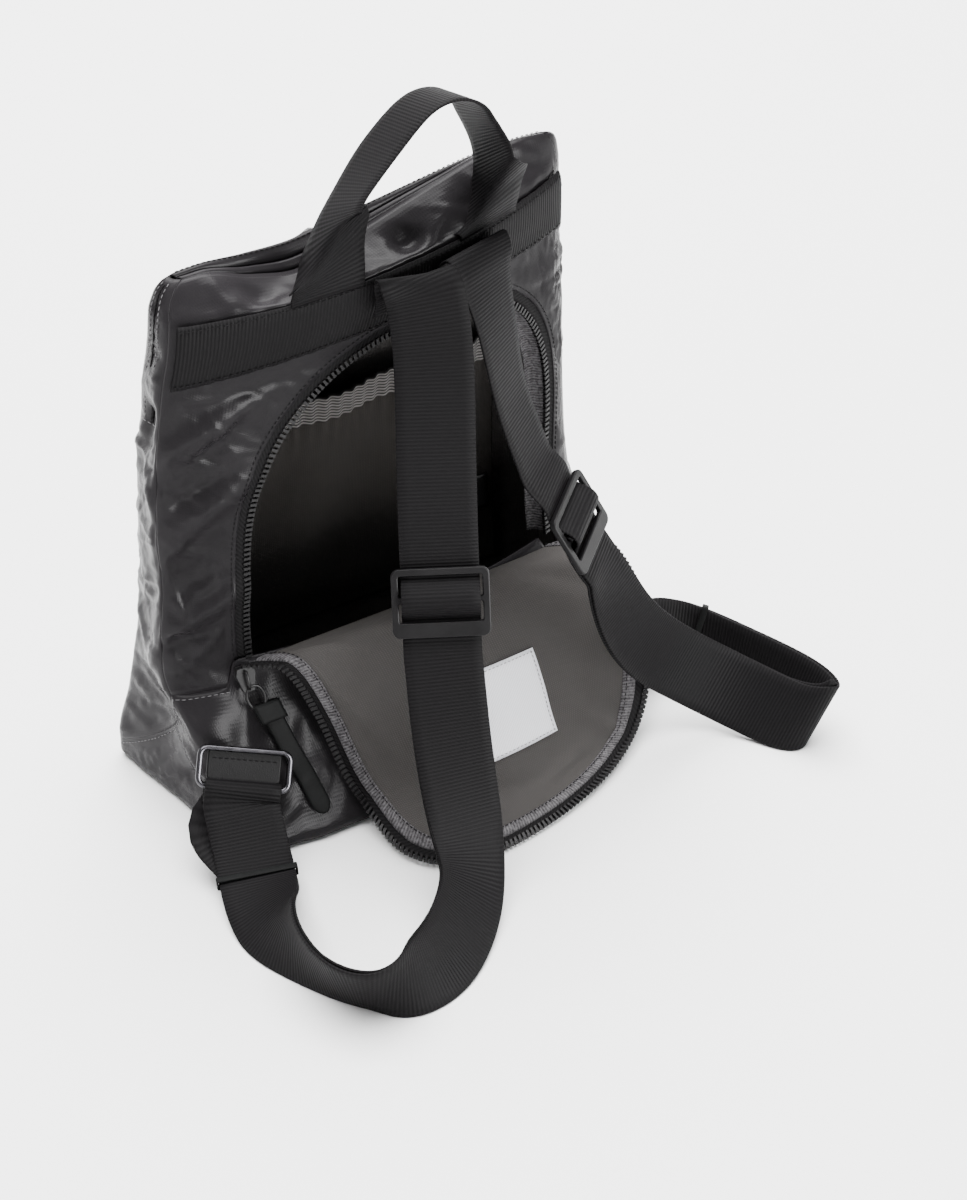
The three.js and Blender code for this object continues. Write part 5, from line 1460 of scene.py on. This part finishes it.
# Strap keepers
# A narrow plain loop of soft matte rubber round both layers of each strap.
# It stands a short way up the strap from the base ring.
rubber, tree, shader, bloom = mottled("soft_matte_rubber", "#0b0b0b", "#141515", 150.0, 4.0,
                                      Roughness=0.6, Specular_IOR_Level=0.05)
raised(tree, shader, bloom, 0.15, 0.0003)
KEEPER_WALL = 1.0
KEEPER_LENGTH = 3.4
for side, keeper in (("left", left_keeper), ("right", right_keeper)):
    out = unit(np.cross(keeper["across"], keeper["along"]))
    across = unit(np.cross(keeper["along"], out))
    wide = WEBBING_WIDTH / 2 + CLEAR
    deep = LAYER + WEBBING_THICK / 2 + 2 * CLEAR
    wide_out = wide + KEEPER_WALL
    deep_out = deep + KEEPER_WALL
    outlines = [rounded_box(-wide_out, -deep_out, wide_out, deep_out, 1.0),
                rounded_box(-wide, -deep, wide, deep, 0.4)]
    piece = moulded_plate(f"strap_keeper_{side}_loop", outlines, KEEPER_LENGTH, 0.4, keeper["at"], across,
                          out, rubber)
    dressed(piece, f"strap_keeper_{side}")


# Zip slider and its pull
# A black coated die-cast slider parked at the left foot of the opening, with a wire bail and a long
# rounded tab of soft rubber lying down over the base.
coated_zinc = mottled("black_coated_zinc", "#0b0a0b", "#1b1a1b", 250.0, 4.0, Roughness=0.4,
                      Specular_IOR_Level=0.15)[0]
SLIDER_X = -95.0
SLIDER_Z = 79.0
PULL_X = -88.0
PULL_Z = 60.0
PULL_ACROSS = 11.0
PULL_DOWN = 46.0
PULL_HALF = 4.9
LINK_X = -93.0
LINK_Z = 69.0


def back_point(x, z, height):
    """A point at a height over the back of the bag."""
    x, z = as_grids(x, z)
    return skin(back_girth(x, z), z, -np.asarray(height, float))


body_at = back_point(SLIDER_X, SLIDER_Z, 5.6)
body_out = skin_normal(back_girth(np.array(SLIDER_X), np.array(SLIDER_Z)), np.array(SLIDER_Z))
body_up = unit(np.cross(body_out, (1.0, 0.0, 0.0)))
body_across = unit(np.cross(body_up, body_out))
body_line = [(-3, -6.5), (3, -6.5), (5.2, 3), (4, 6.5), (-4, 6.5), (-5.2, 3)]
wedge_line = [(-1.5, -4), (1.5, -4), (2.4, 5.5), (-2.4, 5.5)]
castings = []
for outline, thick, rounding, lift in ((body_line, 1.8, 0.4, 1.7), (body_line, 1.8, 0.4, -1.7),
                                       (wedge_line, 3.0, 0.3, 0.0)):
    castings.append(moulded_plate("zip_slider_plate", [outline], thick, rounding, body_at + body_out * lift,
                                  body_across, body_up, coated_zinc))
bail_line = [body_at + body_up * u + body_out * h for u, h in (
    (-4.2, 2.2), (-4.6, 4.0), (-2.5, 5.0), (2.5, 5.0), (4.6, 4.0), (4.2, 2.2))]
castings.append(bent_wire("zip_slider_bail", bail_line, 1.6, coated_zinc))
whole = bmesh.new()
for part in castings:
    whole.from_mesh(part.data)
    bpy.data.objects.remove(part)
slider_mesh = bpy.data.meshes.new("zip_slider_casting")
whole.to_mesh(slider_mesh)
whole.free()
slider_mesh.materials.append(coated_zinc)
piece = placed("zip_slider_casting", slider_mesh)
dressed(piece, "zip_slider")

length = np.linspace(0.0, 1.0, 50)[:, None]
side = np.linspace(-1.0, 1.0, 11)[None, :]
half = PULL_HALF * np.sqrt(np.clip(1 - np.clip((length - 0.87) / 0.135, 0, 1) ** 2, 0.02, 1))
pull_x = PULL_X + PULL_ACROSS * length + side * half
pull_z = PULL_Z - PULL_DOWN * length + side * 0.2 * half
crown = 0.5 * (1 - np.abs(side) ** 4)
tab = back_point(pull_x, pull_z, 3.1 + crown + 1.2 * ease(0.3, 0, length))
tab_facing = skin_normal(back_girth(pull_x, pull_z), pull_z)
piece = grid_piece("zip_pull_tab", tab, [rubber], tab_facing, 2.0)
dressed(piece, "zip_pull")
block_x = np.linspace(-96.0, -82.5, 9)[None, :] + np.linspace(0.0, 1.6, 7)[:, None]
block_z = np.linspace(65.5, 57.0, 7)[:, None] + np.linspace(-0.8, 0.8, 9)[None, :]
block = back_point(block_x, block_z, 6.4)
block_facing = skin_normal(back_girth(block_x, block_z), block_z)
piece = grid_piece("zip_pull_block", block, [rubber], block_facing, 3.4)
dressed(piece)
turn = np.linspace(0.0, 2.0 * np.pi, 28, endpoint=False)
link = back_point(LINK_X + 4.4 * np.cos(turn), LINK_Z + 6.0 * np.sin(turn), 6.2 + 1.6 * np.sin(turn))
piece = bent_wire("zip_pull_link", link, 1.7, coated_zinc)
dressed(piece)
